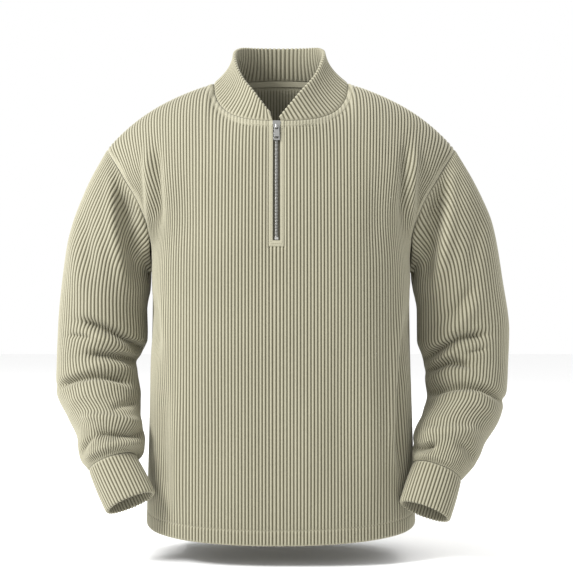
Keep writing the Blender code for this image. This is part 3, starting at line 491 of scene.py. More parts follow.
def sums(tree, operation, *values):
    return add_node(tree, "ShaderNodeMath", dict(enumerate(values)), operation=operation)


def ramp(tree, value, low, high, first=0.0, last=1.0, soft=False):
    """Carries a value from the range low to high over to the range first to last."""
    return add_node(tree, "ShaderNodeMapRange",
                    {"Value": value, "From Min": low, "From Max": high, "To Min": first, "To Max": last},
                    interpolation_type="SMOOTHSTEP" if soft else "LINEAR")


def tree_with(name, inputs):
    """A Geometry Nodes tree with named inputs, and its input and output nodes."""
    tree = bpy.data.node_groups.new(name, "GeometryNodeTree")
    tree.interface.new_socket("Geometry", in_out="INPUT", socket_type="NodeSocketGeometry")
    for label, kind in inputs.items():
        tree.interface.new_socket(label, in_out="INPUT", socket_type="NodeSocket" + kind)
    tree.interface.new_socket("Geometry", in_out="OUTPUT", socket_type="NodeSocketGeometry")
    return tree, tree.nodes.new("NodeGroupInput").outputs, tree.nodes.new("NodeGroupOutput")


def finish_tree(tree, shape, material, result):
    """Ends a tree with real geometry in one material."""
    real = add_node(tree, "GeometryNodeRealizeInstances", {"Geometry": shape})
    dressed = add_node(tree, "GeometryNodeSetMaterial", {"Geometry": real, "Material": material})
    tree.links.new(dressed, result.inputs[0])
    return tree


def rib_tree():
    """Raises ribs along each point's own way out: grooves at whole ribs, crests at halves."""
    tree, given, result = tree_with("raise_ribs", {"Relief": "Float", "Groove": "Float",
                                                   "Crest": "Float", "Knit": "Material"})
    rib, calm = (add_node(tree, "GeometryNodeInputNamedAttribute", {"Name": name}, data_type="FLOAT")
                 for name in ("rib", "calm"))
    way = add_node(tree, "GeometryNodeInputNamedAttribute", {"Name": "way"}, data_type="FLOAT_VECTOR")
    crest = ramp(tree, sums(tree, "PINGPONG", rib, 0.5), given["Groove"], given["Crest"], soft=True)
    kept = sums(tree, "MULTIPLY", sums(tree, "MULTIPLY", crest, given["Relief"]), calm)
    offset = add_node(tree, "ShaderNodeVectorMath", {0: way, "Scale": kept}, operation="SCALE")
    moved = add_node(tree, "GeometryNodeSetPosition", {"Geometry": given["Geometry"], "Offset": offset})
    return finish_tree(tree, moved, given["Knit"], result)


def grow(piece, tree, inputs):
    """Runs a Geometry Nodes tree on a piece and keeps the plain mesh that it makes."""
    modifier = piece.modifiers.new(tree.name, "NODES")
    modifier.node_group = tree
    for socket in tree.interface.items_tree:
        if socket.in_out == "INPUT" and socket.name in inputs:
            modifier[socket.identifier] = inputs[socket.name]
    bpy.context.view_layer.update()
    evaluated = piece.evaluated_get(bpy.context.evaluated_depsgraph_get())
    plain, made = piece.data, bpy.data.meshes.new_from_object(evaluated)
    piece.modifiers.remove(modifier)
    piece.data = made
    made.name = piece.name
    bpy.data.meshes.remove(plain)


def new_material(name, colour=None, roughness=None, **more):
    """A material, its node tree and its shader, whose own inputs are set."""
    made = bpy.data.materials.new(name)
    made.use_nodes = True
    shader = made.node_tree.nodes["Principled BSDF"]
    if colour:
        shader.inputs["Base Color"].default_value = (*colour, 1.0)
    if roughness:
        shader.inputs["Roughness"].default_value = roughness
    for label, value in more.items():
        shader.inputs[label.replace("_", " ")].default_value = value
    return made, made.node_tree, shader


def cloud(tree, scale, detail=2.0, **more):
    """Soft noise that is fixed to the piece."""
    place = add_node(tree, "ShaderNodeTexCoord", out="Object")
    return add_node(tree, "ShaderNodeTexNoise", {"Vector": place, "Scale": scale, "Detail": detail, **more})


def knit_material(name):
    """Rib knit: pale crests over grooves darkened with painted shade, two rows of knit loops on each rib,
    soft fibres.
    """
    made, tree, shader = new_material(name, Sheen_Weight=0.25, Sheen_Roughness=0.5,
                                      Sheen_Tint=(*SHEEN, 1.0), Specular_IOR_Level=0.25)
    rib = add_node(tree, "ShaderNodeSeparateXYZ", {0: add_node(tree, "ShaderNodeUVMap", uv_map="knit")})
    along = rib.node.outputs["Y"]
    calm = add_node(tree, "ShaderNodeAttribute", out="Fac", attribute_name="calm")
    fibres, yarn, patches = cloud(tree, 1500.0, 3.0, Roughness=0.6), cloud(tree, 260.0), cloud(tree, 9.0)

    # Painted shade: the colour darkens from the crest into each groove, less where bands and seams press
    # the ribs flat.
    depth = ramp(tree, sums(tree, "PINGPONG", rib, 0.5), 0.05, 0.36, 1.0, 0.0, soft=True)
    groove_painted_shade = sums(tree, "MULTIPLY", depth, calm)
    tone = ramp(tree, sums(tree, "ADD", sums(tree, "ADD", fibres, yarn), patches), 1.0, 2.0, 0.93, 1.06)
    first_colour, second_colour, mixed = 6, 7, 2
    colour = add_node(tree, "ShaderNodeMix", {"Factor": groove_painted_shade, first_colour: (*KNIT_CREST, 1.0),
                                              second_colour: (*KNIT_GROOVE_PAINTED_SHADE, 1.0)},
                      out=mixed, data_type="RGBA")
    toned = add_node(tree, "ShaderNodeVectorMath", {0: colour, 1: tone}, operation="MULTIPLY")
    tree.links.new(toned, shader.inputs["Base Color"])

    side = sums(tree, "PINGPONG", sums(tree, "MULTIPLY", rib, 2.0), 0.5)
    slant = sums(tree, "MULTIPLY_ADD", side, 1.4, sums(tree, "MULTIPLY", along, 1 / LOOP))
    leg = ramp(tree, sums(tree, "PINGPONG", slant, 0.5), 0.0, 0.3, soft=True)
    between = ramp(tree, side, 0.0, 0.16, soft=True)
    fuzz = sums(tree, "MULTIPLY_ADD", fibres, 0.5, sums(tree, "MULTIPLY", leg, between))
    bump = add_node(tree, "ShaderNodeBump", {"Height": fuzz, "Strength": 0.25, "Distance": 0.0004})
    tree.links.new(bump, shader.inputs["Normal"])
    tree.links.new(ramp(tree, fibres, 0.0, 1.0, 0.82, 0.98), shader.inputs["Roughness"])
    return made


RIBS = rib_tree()


def dress(piece, node, slot, **cut):
    """Hides the solid that a piece stands for and lets the garment carry the piece; its slot and its cut
    are not used.
    """
    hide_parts(node)
    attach(piece, "garment")


def knit_piece(name, points, faces, material, slot, cut, **numbers):
    """A cloth piece with its ribs raised, in place of the solid of its name."""
    piece = cloth_mesh(name, points, faces, **numbers)
    grow(piece, RIBS, {"Relief": RIB_RELIEF, "Groove": 0.0, "Crest": 0.40, "Knit": material})
    dress(piece, name, slot, **cut)


def two_sides(outer, inner):
    """One list from a grid for a wall's outer side and one for its inner side."""
    shape = (-1, 3) if outer.ndim == 3 else (-1,)
    return np.concatenate([outer.reshape(shape), inner.reshape(shape)])


def wall_numbers(normals, levels, calm, inner_calm, step):
    """What a two-sided wall's ribs need at each point; the inner side has fewer columns."""
    rib = np.broadcast_to(np.arange(normals.shape[1]) / RIB_COLUMNS, normals.shape[:2])
    along = np.broadcast_to(levels[:, None], normals.shape[:2])
    return {"rib": two_sides(rib, rib[:, ::step] + 0.5), "along": two_sides(along, along[:, ::step]),
            "calm": two_sides(calm, inner_calm), "way": two_sides(normals, -normals[:, ::step])}


def panel_piece(name, form, cut, step):
    """Closes a panel's outer and inner side into one thin wall and raises its ribs."""
    base, normals, levels = form.base, form.normals, form.levels
    rows, columns = base.shape[:2]
    turned = HEM_TURNED * (1 - soft_step(levels, HEM_BAND - 0.001, HEM_BAND + 0.001))
    inward = (CLOTH - hem_rounding(levels) + turned * soft_step(levels, 0, 0.002))[:, None, None]
    points = two_sides(base + normals * form.lift[..., None], (base - normals * inward)[:, ::step])
    outside = np.arange(rows * columns).reshape(rows, columns)
    inside = rows * columns + np.arange(outside[:, ::step].size).reshape(rows, -1)
    hole = inner_hole = None
    if name == "front_panel":
        left = FRONT_HALF_RIBS * RIB_COLUMNS
        right = left + MIDDLE_RIBS * RIB_COLUMNS
        near, far = left // step, right // step
        slit = int(np.argmin(np.abs(levels - form.stops[SLIT_ROW] - ZIP_FOOT_UP)))
        hole, inner_hole = (slit, left, right), (slit, near, far)
    faces = skin_faces(rows, columns, 0, hole)
    faces += skin_faces(rows, inside.shape[1], rows * columns, inner_hole, flip=True)
    faces += rim_faces(outside[0], inside[0], step, flip=True)
    faces += rim_faces(outside[:, 0], inside[:, 0], 1)
    faces += rim_faces(outside[:, -1], inside[:, -1], 1, flip=True)
    if hole:
        faces += rim_faces(outside[-1, :left + 1], inside[-1, :near + 1], step)
        faces += rim_faces(outside[-1, right:], inside[-1, far:], step)
        faces += rim_faces(outside[slit, left:right + 1], inside[slit, near:far + 1], step)
        faces += rim_faces(outside[slit:, left], inside[slit:, near], 1, flip=True)
        faces += rim_faces(outside[slit:, right], inside[slit:, far], 1)
    else:
        faces += rim_faces(outside[-1], inside[-1], step)
    inner_calm = 0.7 * form.calm[:, ::step] * soft_step(levels, 0.0, 0.004)[:, None]
    inner_calm = inner_calm * soft_step(form.neck_far[:, ::step], 0.013, 0.016)
    calm = form.calm * soft_step(levels, -0.0004, 0.003)[:, None]
    which = name.split("_")[0]
    knit_piece(name, points, faces, knit_material(which + " rib knit"), which + "_rib_knit",
               {**cut, "held": "hung"}, **wall_numbers(normals, levels, calm, inner_calm, step))


front_form, back_form = panel_form(True), panel_form(False)
panel_piece("front_panel", front_form, FRONT_CUT, RIB_COLUMNS)
panel_piece("back_panel", back_form, BACK_CUT, RIB_COLUMNS // 2)

# ------------------------------------------------------------------ sleeves
# Each sleeve is one tube of the same knit, its ribs lengthwise, set into the armhole and sewn up
# under the arm. It is longer than the arm, so it lies in rolls and creases from the elbow down.

SLEEVE_RIBS = 72
SLEEVE_CUT = {"flat": (0.46, 0.56), "area": 0.205, "held": "gathered"}
TUCK_OUT, TUCK_UP, TUCK_REACH = 0.0034, 0.0020, 0.045
CAP_SLANT = 0.12           # how far up the armhole its ribs are drawn, so they leave it at a slant
CAP_LEVELS, UPPER_FROM, ELBOW_FROM = (0.0, 0.0008, 0.0018, 0.0032), 0.006, 0.19
UPPER_ROWS, LOWER_ROWS = 46, 136
CUFF_SEAM_LEVELS = np.array([0.0025, 0.0012, 0.0])

SleeveRing = namedtuple("SleeveRing", "out_x out_z in_x in_z y depth")
IMAGE_LEFT_RINGS = [
    SleeveRing(0.2960, -0.1580, 0.2012, -0.3035, 0.000, 0.0640),
    SleeveRing(0.3185, -0.2150, 0.2035, -0.3200, 0.004, 0.0655),
    SleeveRing(0.3360, -0.3000, 0.2088, -0.3500, 0.012, 0.0655),
    SleeveRing(0.3433, -0.3715, 0.2077, -0.3917, 0.015, 0.0640),
    SleeveRing(0.3449, -0.4286, 0.2243, -0.4348, 0.010, 0.0610),
    SleeveRing(0.3442, -0.4678, 0.2167, -0.4740, -0.005, 0.0600),
    SleeveRing(0.3238, -0.5073, 0.2151, -0.5042, -0.030, 0.0560),
    SleeveRing(0.3053, -0.5383, 0.2060, -0.5383, -0.055, 0.0520),
    SleeveRing(0.2996, -0.5640, 0.2056, -0.5500, -0.073, 0.0470),
    SleeveRing(0.2834, -0.5859, 0.2180, -0.5610, -0.085, 0.0320),
]
IMAGE_RIGHT_RINGS = [
    SleeveRing(0.2985, -0.1580, 0.2020, -0.3035, 0.000, 0.0640),
    SleeveRing(0.3235, -0.2150, 0.2055, -0.3200, 0.004, 0.0655),
    SleeveRing(0.3405, -0.3000, 0.2118, -0.3500, 0.012, 0.0655),
    SleeveRing(0.3517, -0.3793, 0.2122, -0.3948, 0.015, 0.0640),
    SleeveRing(0.3495, -0.4286, 0.2226, -0.4332, 0.010, 0.0610),
    SleeveRing(0.3458, -0.4678, 0.2244, -0.4740, -0.005, 0.0600),
    SleeveRing(0.3316, -0.5118, 0.2161, -0.5073, -0.030, 0.0560),
    SleeveRing(0.3072, -0.5443, 0.2003, -0.5383, -0.055, 0.0520),
    SleeveRing(0.2927, -0.5720, 0.1985, -0.5560, -0.073, 0.0470),
    SleeveRing(0.2662, -0.6008, 0.1985, -0.5726, -0.085, 0.0320),
]
IMAGE_LEFT_CUFF = SleeveRing(0.2553, -0.6432, 0.1868, -0.6124, -0.110, 0.0290)
IMAGE_RIGHT_CUFF = SleeveRing(0.2473, -0.6545, 0.1767, -0.6265, -0.110, 0.0290)

IMAGE_LEFT_FOLDS = [
    Fold(0.0070, 0.0100, 0.25, [(-0.258, -0.120), (-0.254, -0.182), (-0.250, -0.224), (-0.241, -0.275),
                                (-0.236, -0.330)]),
    Fold(-0.0200, 0.0165, 0.25, [(-0.240, -0.138), (-0.234, -0.173), (-0.228, -0.219), (-0.217, -0.269),
                                 (-0.207, -0.320)]),
    Fold(-0.0042, 0.0120, 0.40, [(-0.300, -0.180), (-0.292, -0.242), (-0.284, -0.310)]),
    Fold(0.0033, 0.0140, 0.40, [(-0.318, -0.215), (-0.310, -0.270), (-0.300, -0.340)]),
    Fold(-0.0154, 0.0069, 0.22, [(-0.310, -0.364), (-0.288, -0.368), (-0.266, -0.376), (-0.248, -0.385),
                                 (-0.224, -0.401), (-0.200, -0.418)]),
    Fold(0.0046, 0.0070, 0.30, [(-0.290, -0.383), (-0.266, -0.392), (-0.246, -0.401),
                                (-0.222, -0.415)]),
    Fold(-0.0042, 0.0040, 0.30, [(-0.326, -0.386), (-0.304, -0.387), (-0.283, -0.391)]),
    Fold(-0.0126, 0.0063, 0.28, [(-0.300, -0.414), (-0.281, -0.414), (-0.259, -0.416), (-0.237, -0.420),
                                 (-0.212, -0.431)]),
    Fold(0.0039, 0.0070, 0.30, [(-0.296, -0.430), (-0.270, -0.430), (-0.240, -0.436),
                                (-0.215, -0.448)]),
    Fold(-0.0126, 0.0060, 0.18, [(-0.346, -0.468), (-0.333, -0.461), (-0.320, -0.455), (-0.303, -0.449),
                                 (-0.281, -0.445), (-0.258, -0.447), (-0.241, -0.451),
                                 (-0.222, -0.462)]),
    Fold(0.0031, 0.0090, 0.30, [(-0.330, -0.490), (-0.290, -0.472), (-0.250, -0.476)]),
    Fold(-0.0049, 0.0060, 0.30, [(-0.256, -0.494), (-0.236, -0.489), (-0.214, -0.486)]),
    Fold(0.0073, 0.0065, 0.25, [(-0.302, -0.505), (-0.277, -0.506), (-0.254, -0.508), (-0.232, -0.512),
                                (-0.206, -0.520)]),
    Fold(-0.0133, 0.0080, 0.25, [(-0.284, -0.527), (-0.262, -0.528), (-0.244, -0.530), (-0.222, -0.532),
                                 (-0.200, -0.531)]),
    Fold(0.0083, 0.0065, 0.25, [(-0.292, -0.572), (-0.274, -0.558), (-0.254, -0.547), (-0.230, -0.542),
                                (-0.204, -0.543)]),
    Fold(-0.0056, 0.0050, 0.30, [(-0.296, -0.560), (-0.284, -0.541), (-0.274, -0.531)]),
]
IMAGE_RIGHT_FOLDS = [
    Fold(0.0070, 0.0100, 0.25, [(0.258, -0.118), (0.254, -0.182), (0.250, -0.224), (0.242, -0.275),
                                (0.238, -0.325)]),
    Fold(-0.0200, 0.0165, 0.25, [(0.241, -0.136), (0.235, -0.173), (0.229, -0.219), (0.218, -0.269),
                                 (0.209, -0.320)]),
    Fold(-0.0042, 0.0120, 0.40, [(0.302, -0.190), (0.292, -0.250), (0.280, -0.320)]),
    Fold(-0.0056, 0.0100, 0.35, [(0.296, -0.300), (0.266, -0.345), (0.236, -0.372)]),
    Fold(0.0039, 0.0100, 0.35, [(0.300, -0.328), (0.272, -0.366), (0.240, -0.390)]),
    Fold(-0.0148, 0.0067, 0.22, [(0.316, -0.384), (0.280, -0.387), (0.265, -0.391), (0.253, -0.399),
                                 (0.238, -0.409), (0.216, -0.429)]),
    Fold(0.0046, 0.0070, 0.30, [(0.272, -0.406), (0.254, -0.413), (0.240, -0.422), (0.222, -0.436)]),
    Fold(-0.0048, 0.0042, 0.30, [(0.312, -0.405), (0.292, -0.409), (0.277, -0.413)]),
    Fold(-0.0115, 0.0057, 0.28, [(0.292, -0.432), (0.269, -0.427), (0.253, -0.426), (0.240, -0.431),
                                 (0.218, -0.446)]),
    Fold(0.0036, 0.0070, 0.30, [(0.300, -0.446), (0.268, -0.441), (0.240, -0.446), (0.220, -0.458)]),
    Fold(-0.0126, 0.0060, 0.18, [(0.350, -0.494), (0.337, -0.484), (0.322, -0.474), (0.304, -0.465),
                                 (0.286, -0.461), (0.269, -0.460), (0.253, -0.462), (0.237, -0.467),
                                 (0.216, -0.482)]),
    Fold(0.0031, 0.0090, 0.30, [(0.330, -0.506), (0.290, -0.486), (0.246, -0.490)]),
    Fold(0.0062, 0.0070, 0.25, [(0.205, -0.532), (0.226, -0.527), (0.259, -0.525), (0.298, -0.526)]),
    Fold(-0.0133, 0.0057, 0.30, [(0.196, -0.552), (0.212, -0.550), (0.231, -0.545)]),
    Fold(-0.0072, 0.0080, 0.35, [(0.252, -0.536), (0.272, -0.549), (0.290, -0.570)]),
    Fold(0.0073, 0.0070, 0.30, [(0.197, -0.563), (0.214, -0.563), (0.238, -0.566), (0.262, -0.580)]),
]
LEFT_BACK_FOLDS = [
    Fold(-0.0116, 0.0126, 0.30, [(-0.240, -0.150), (-0.230, -0.210), (-0.216, -0.290)]),
    Fold(-0.0126, 0.0080, 0.25, [(-0.330, -0.350), (-0.290, -0.372), (-0.250, -0.380),
                                 (-0.214, -0.392)]),
    Fold(0.0039, 0.0080, 0.30, [(-0.320, -0.372), (-0.276, -0.392), (-0.226, -0.404)]),
    Fold(-0.0108, 0.0069, 0.25, [(-0.300, -0.420), (-0.262, -0.418), (-0.222, -0.430)]),
    Fold(-0.0119, 0.0067, 0.22, [(-0.344, -0.462), (-0.310, -0.452), (-0.270, -0.455),
                                 (-0.226, -0.470)]),
    Fold(0.0039, 0.0080, 0.30, [(-0.320, -0.492), (-0.272, -0.486), (-0.222, -0.500)]),
    Fold(-0.0084, 0.0080, 0.25, [(-0.302, -0.520), (-0.262, -0.522), (-0.210, -0.527)]),
    Fold(0.0047, 0.0070, 0.25, [(-0.296, -0.560), (-0.250, -0.548), (-0.208, -0.540)]),
]
RIGHT_BACK_FOLDS = [
    Fold(-0.0112, 0.0126, 0.30, [(0.242, -0.150), (0.231, -0.220), (0.218, -0.280)]),
    Fold(-0.0119, 0.0080, 0.25, [(0.336, -0.362), (0.296, -0.380), (0.252, -0.394), (0.218, -0.410)]),
    Fold(0.0042, 0.0080, 0.30, [(0.326, -0.388), (0.280, -0.404), (0.232, -0.424)]),
    Fold(-0.0115, 0.0069, 0.25, [(0.322, -0.436), (0.276, -0.430), (0.226, -0.446)]),
    Fold(-0.0108, 0.0064, 0.22, [(0.344, -0.486), (0.300, -0.470), (0.262, -0.472), (0.222, -0.486)]),
    Fold(0.0042, 0.0080, 0.30, [(0.316, -0.516), (0.262, -0.506), (0.212, -0.520)]),
    Fold(-0.0108, 0.0075, 0.25, [(0.292, -0.546), (0.250, -0.541), (0.202, -0.548)]),
    Fold(0.0044, 0.0070, 0.25, [(0.284, -0.578), (0.242, -0.566), (0.202, -0.560)]),
]


def spaced(points, count):
    """count + 1 points at equal steps along a line."""
    steps = np.linalg.norm(np.diff(points, axis=0), axis=1)
    along = np.concatenate([[0.0], np.cumsum(steps)])
    wanted = np.linspace(0.0, along[-1], count + 1)
    return np.stack([np.interp(wanted, along, points[:, k]) for k in range(3)], axis=1)


def oval_points(ring, side, axis, count):
    """count points at equal steps round a ring, from its inner point by the front to the outer."""
    outer = np.array([side * ring.out_x, ring.y, ring.out_z])
    inner = np.array([side * ring.in_x, ring.y, ring.in_z])
    out = unit(outer - inner)
    forward = unit(np.cross(axis, out))
    forward *= -np.sign(forward[1])
    angles = np.radians(np.linspace(180.0, -180.0, 1441))
    points = ((outer + inner) / 2 + np.outer(np.linalg.norm(outer - inner) / 2 * np.cos(angles), out)
              + np.outer(ring.depth * np.sin(angles), forward))
    return spaced(points, count)[:-1]


def ring_normals(base):
    """Outward normals of a tube of rings."""
    around = np.roll(base, -1, axis=1) - np.roll(base, 1, axis=1)
    normals = unit(np.cross(around, np.gradient(base, axis=0)))
    if np.sum(normals * (base - base.mean(axis=1, keepdims=True))) < 0:
        normals = -normals
    return normals


def armhole_points(side, half):
    """The armhole's edge as a loop, up its front and down its back, a little tucked out below."""
    share = np.linspace(0.0, 1.0, half + 1)
    share = half * (share + CAP_SLANT * np.sin(np.pi * share))
    edge = -1 if side > 0 else 0
    loop = []
    for form, step, at in ((front_form, 1, share), (back_form, -1, half - share[::-1])):
        start = int(np.argmin(np.abs(form.levels - form.stops[UNDERARM_ROW])))
        even = spaced(form.base[start:, edge][::step], half)
        loop += [[np.interp(k, np.arange(half + 1), even[:, axis]) for axis in range(3)] for k in at[:-1]]
    loop = np.array(loop)
    loop[[0, half], 1] = 0.0
    above = (loop[:, 2] - loop[0, 2]) / TUCK_REACH
    return loop + np.clip(1.5 - above, 0.0, 1.0)[:, None] * np.array([side * TUCK_OUT, 0.0, TUCK_UP])


def sleeve(name, side, rings, cuff_end, folds, back_folds, material):
    """A sleeve from its armhole to its cuff's seam; gives the run of its last ring too."""
    half = SLEEVE_RIBS * RIB_COLUMNS // 2
    armhole = armhole_points(side, half)
    middles = [armhole.mean(axis=0)]
    middles += [np.array([side * (ring.out_x + ring.in_x) / 2, ring.y, (ring.out_z + ring.in_z) / 2])
                for ring in [*rings, cuff_end]]
    end_axis = unit(middles[-1] - middles[-2])
    axes = [unit(after - before) for before, after in zip(middles[:-3], middles[2:-1])] + [end_axis]
    loops = [oval_points(ring, side, axis, 2 * half) for ring, axis in zip(rings, axes)]
    given = np.array([armhole + unit(loops[0] - armhole) * 0.0005, *loops])
    runs = np.linalg.norm(np.diff(given, axis=0), axis=2).mean(axis=1)
    stops = np.concatenate([[0.0], np.cumsum(runs)])
    levels = np.concatenate([CAP_LEVELS, np.linspace(UPPER_FROM, ELBOW_FROM, UPPER_ROWS),
                             np.linspace(ELBOW_FROM, stops[-1] - 0.004, LOWER_ROWS)[1:],
                             stops[-1] - CUFF_SEAM_LEVELS])
    base = smooth_rows(stops, given, levels)
    normals = ring_normals(base)
    fade = (soft_step(levels, 0.0, 0.02) * soft_step(levels[-1] - levels, 0.0, 0.012))[:, None]
    depth = fold_depths(base, folds) * soft_step(-normals[..., 1], -0.25, 0.25)
    depth += fold_depths(base, back_folds) * soft_step(normals[..., 1], -0.25, 0.25)
    base = base + normals * (depth * fade)[..., None]
    normals = ring_normals(base)

    from_seam = np.minimum(levels, levels[-1] - levels)[:, None] + np.zeros(base.shape[:2])
    lift = -0.0009 * bell(from_seam, 0.0016)
    calm = 0.35 + 0.65 * soft_step(from_seam, 0.0, 0.004)
    outer, inner = base + normals * lift[..., None], (base - normals * CLOTH)[:, ::RIB_COLUMNS]
    rows, columns, across = len(levels), base.shape[1], inner.shape[1]
    outside = np.arange(rows * columns).reshape(rows, columns)
    inside = rows * columns + np.arange(rows * across).reshape(rows, across)
    faces = skin_faces(rows, columns, 0, closed=True)
    faces += skin_faces(rows, across, rows * columns, flip=True, closed=True)
    for row, flip in ((0, True), (-1, False)):
        faces += rim_faces(np.append(outside[row], outside[row, 0]),
                           np.append(inside[row], inside[row, 0]), RIB_COLUMNS, flip)
    knit_piece(name, two_sides(outer, inner), faces, material, "sleeve_rib_knit", SLEEVE_CUT,
               round_ribs=SLEEVE_RIBS,
               **wall_numbers(normals, levels, calm, np.zeros((rows, across)), RIB_COLUMNS))
    return end_axis


sleeve_knit = knit_material("sleeve rib knit")
right_axis = sleeve("sleeve_right", -1.0, IMAGE_LEFT_RINGS, IMAGE_LEFT_CUFF, IMAGE_LEFT_FOLDS,
                    LEFT_BACK_FOLDS, sleeve_knit)
left_axis = sleeve("sleeve_left", 1.0, IMAGE_RIGHT_RINGS, IMAGE_RIGHT_CUFF, IMAGE_RIGHT_FOLDS,
                   RIGHT_BACK_FOLDS, sleeve_knit)

# ------------------------------------------------------------------ cuffs
# Each cuff is a short band of finer rib, folded double over its open end and sewn to the sleeve.
# Its edge is the fold, so it is round and soft.

CUFF_RIBS = 42
CUFF_THICK = 0.0026
CUFF_CUT = {"flat": (0.21, 0.068), "held": "stretched"}    # one layer of the two
CUFF_SHARES = np.array([0.0, 0.015, 0.035, 0.06, *np.linspace(0.1, 1.0, 20)])[:, None, None]
CUFF_CROWN = 0.0010
BAND_RIM = np.radians([30, 60, 90, 120, 150])


def folded_band(name, base, normals, thick, calm, lift, round_ribs, material, slot, cut):
    """A doubled band: up its outer side, over its folded edge, and down inside."""
    middle = base - normals * thick / 2
    end = unit(middle[-1] - middle[-2])
    over = [normals[-1] * math.cos(angle) + end * math.sin(angle) for angle in BAND_RIM]
    rows = np.array([*(middle + normals * (thick / 2 + lift)[..., None]),
                     *(middle[-1] + way * thick / 2 for way in over),
                     *(middle - normals * thick / 2)[::-1]])
    ways = np.array([*normals, *over, *-normals[::-1]])
    keep = np.array([*calm, *[calm[-1]] * len(over), *calm[::-1] * 0.8])
    count, columns = rows.shape[:2]
    runs = np.linalg.norm(np.diff(rows, axis=0), axis=2).mean(axis=1)
    along = np.concatenate([[0.0], np.cumsum(runs)])
    faces = []
    for row in range(count):
        after = (row + 1) % count
        for column in range(columns if round_ribs else columns - 1):
            beside = (column + 1) % columns
            faces.append((row * columns + column, row * columns + beside,
                          after * columns + beside, after * columns + column))
    if not round_ribs:
        faces.append(tuple(row * columns for row in range(count)))
        faces.append(tuple(row * columns + columns - 1 for row in reversed(range(count))))
    knit_piece(name, rows.reshape(-1, 3), faces, material, slot, cut, round_ribs=round_ribs,
               rib=np.tile(np.arange(columns) / RIB_COLUMNS, count), along=np.repeat(along, columns),
               calm=keep.ravel(), way=ways.reshape(-1, 3))


def cuff(name, seam_ring, mouth, side, axis, material):
    seam, end = (oval_points(ring, side, axis, CUFF_RIBS * RIB_COLUMNS) for ring in (seam_ring, mouth))
    seam = seam + axis * SEAM_GAP * 1.3
    length = float(np.linalg.norm(end - seam, axis=1).mean())
    base = seam + (end - seam) * CUFF_SHARES
    normals = ring_normals(base)
    base = base + normals * CUFF_CROWN * np.sin(np.pi * CUFF_SHARES)
    from_seam = length * CUFF_SHARES[..., 0] + np.zeros(base.shape[:2])
    folded_band(name, base, normals, CUFF_THICK, 0.4 + 0.6 * soft_step(from_seam, 0.0, 0.004),
                -0.0008 * bell(from_seam, 0.0014), CUFF_RIBS, material, "cuff_rib_knit", CUFF_CUT)


cuff_knit = knit_material("cuff rib knit")
cuff("cuff_right", IMAGE_LEFT_RINGS[-1], IMAGE_LEFT_CUFF, -1.0, right_axis, cuff_knit)
cuff("cuff_left", IMAGE_RIGHT_RINGS[-1], IMAGE_RIGHT_CUFF, 1.0, left_axis, cuff_knit)

# ------------------------------------------------------------------ collar
# The collar is a doubled band of rib that stands round the neck, its ribs running up from the
# seam. It is highest behind and narrows in front to the top of the zip.

COLLAR_RIBS, COLLAR_FRONT_RIBS = 88, 24
COLLAR_THICK = 0.0030
COLLAR_CUT = {"flat": (0.50, 0.085), "area": 0.028, "held": "folded"}    # one layer of the two
COLLAR_SHARES = np.array([0.0, 0.012, 0.03, 0.055, *np.linspace(0.09, 1.0, 24)])[:, None, None]
COLLAR_CROWDED = 0.45      # how much closer the ribs stand at the sides of the rim than behind
CollarEdge = namedtuple("CollarEdge", "angle x y z waist")
COLLAR_EDGE = [
    CollarEdge(0, 0.0055, -0.0965, -0.0620, 0.0000),
    CollarEdge(30, 0.0330, -0.0760, -0.0260, 0.0010),
    CollarEdge(60, 0.0580, -0.0380, 0.0080, 0.0040),
    CollarEdge(90, 0.0700, 0.0000, 0.0430, 0.0065),
    CollarEdge(120, 0.0632, 0.0320, 0.0572, 0.0050),
    CollarEdge(150, 0.0368, 0.0540, 0.0606, 0.0025),
    CollarEdge(180, 0.0000, 0.0610, 0.0612, 0.0015),
]


def smooth_between(at, stops, values, level_end):
    """A smooth curve through a table's values, level or not at its end."""
    slopes = np.gradient(values, stops)
    slopes[0] = (values[1] - values[0]) / (stops[1] - stops[0])
    if level_end:
        slopes[-1] = 0.0
    k = int(np.clip(np.searchsorted(stops, at) - 1, 0, len(stops) - 2))
    span = stops[k + 1] - stops[k]
    t = np.clip((at - stops[k]) / span, 0.0, 1.0)
    rise = values[k + 1] - values[k]
    a, b = slopes[k] * span - rise, rise - slopes[k + 1] * span
    return values[k] + t * rise + t * (1 - t) * (a * (1 - t) + b * t)


def rim_point(angle):
    """The collar's rim at an angle round the neck, and how far the band is waisted below it."""
    turn = abs(math.degrees(angle) if angle <= math.pi else 360 - math.degrees(angle))
    side = -1.0 if angle <= math.pi else 1.0
    if turn > 90:
        behind = (180 - turn) / 90
        turn = 180 - 90 * ((1 + COLLAR_CROWDED) * behind - COLLAR_CROWDED * behind ** 2)
    angles, *columns = (np.array(column, float) for column in zip(*COLLAR_EDGE))
    x, y, z, waist = (smooth_between(turn, angles, column, level_end=k > 0)
                      for k, column in enumerate(columns))
    return (side * x + ZIP_X * math.cos(math.radians(turn / 2)) ** 2, y, z), waist


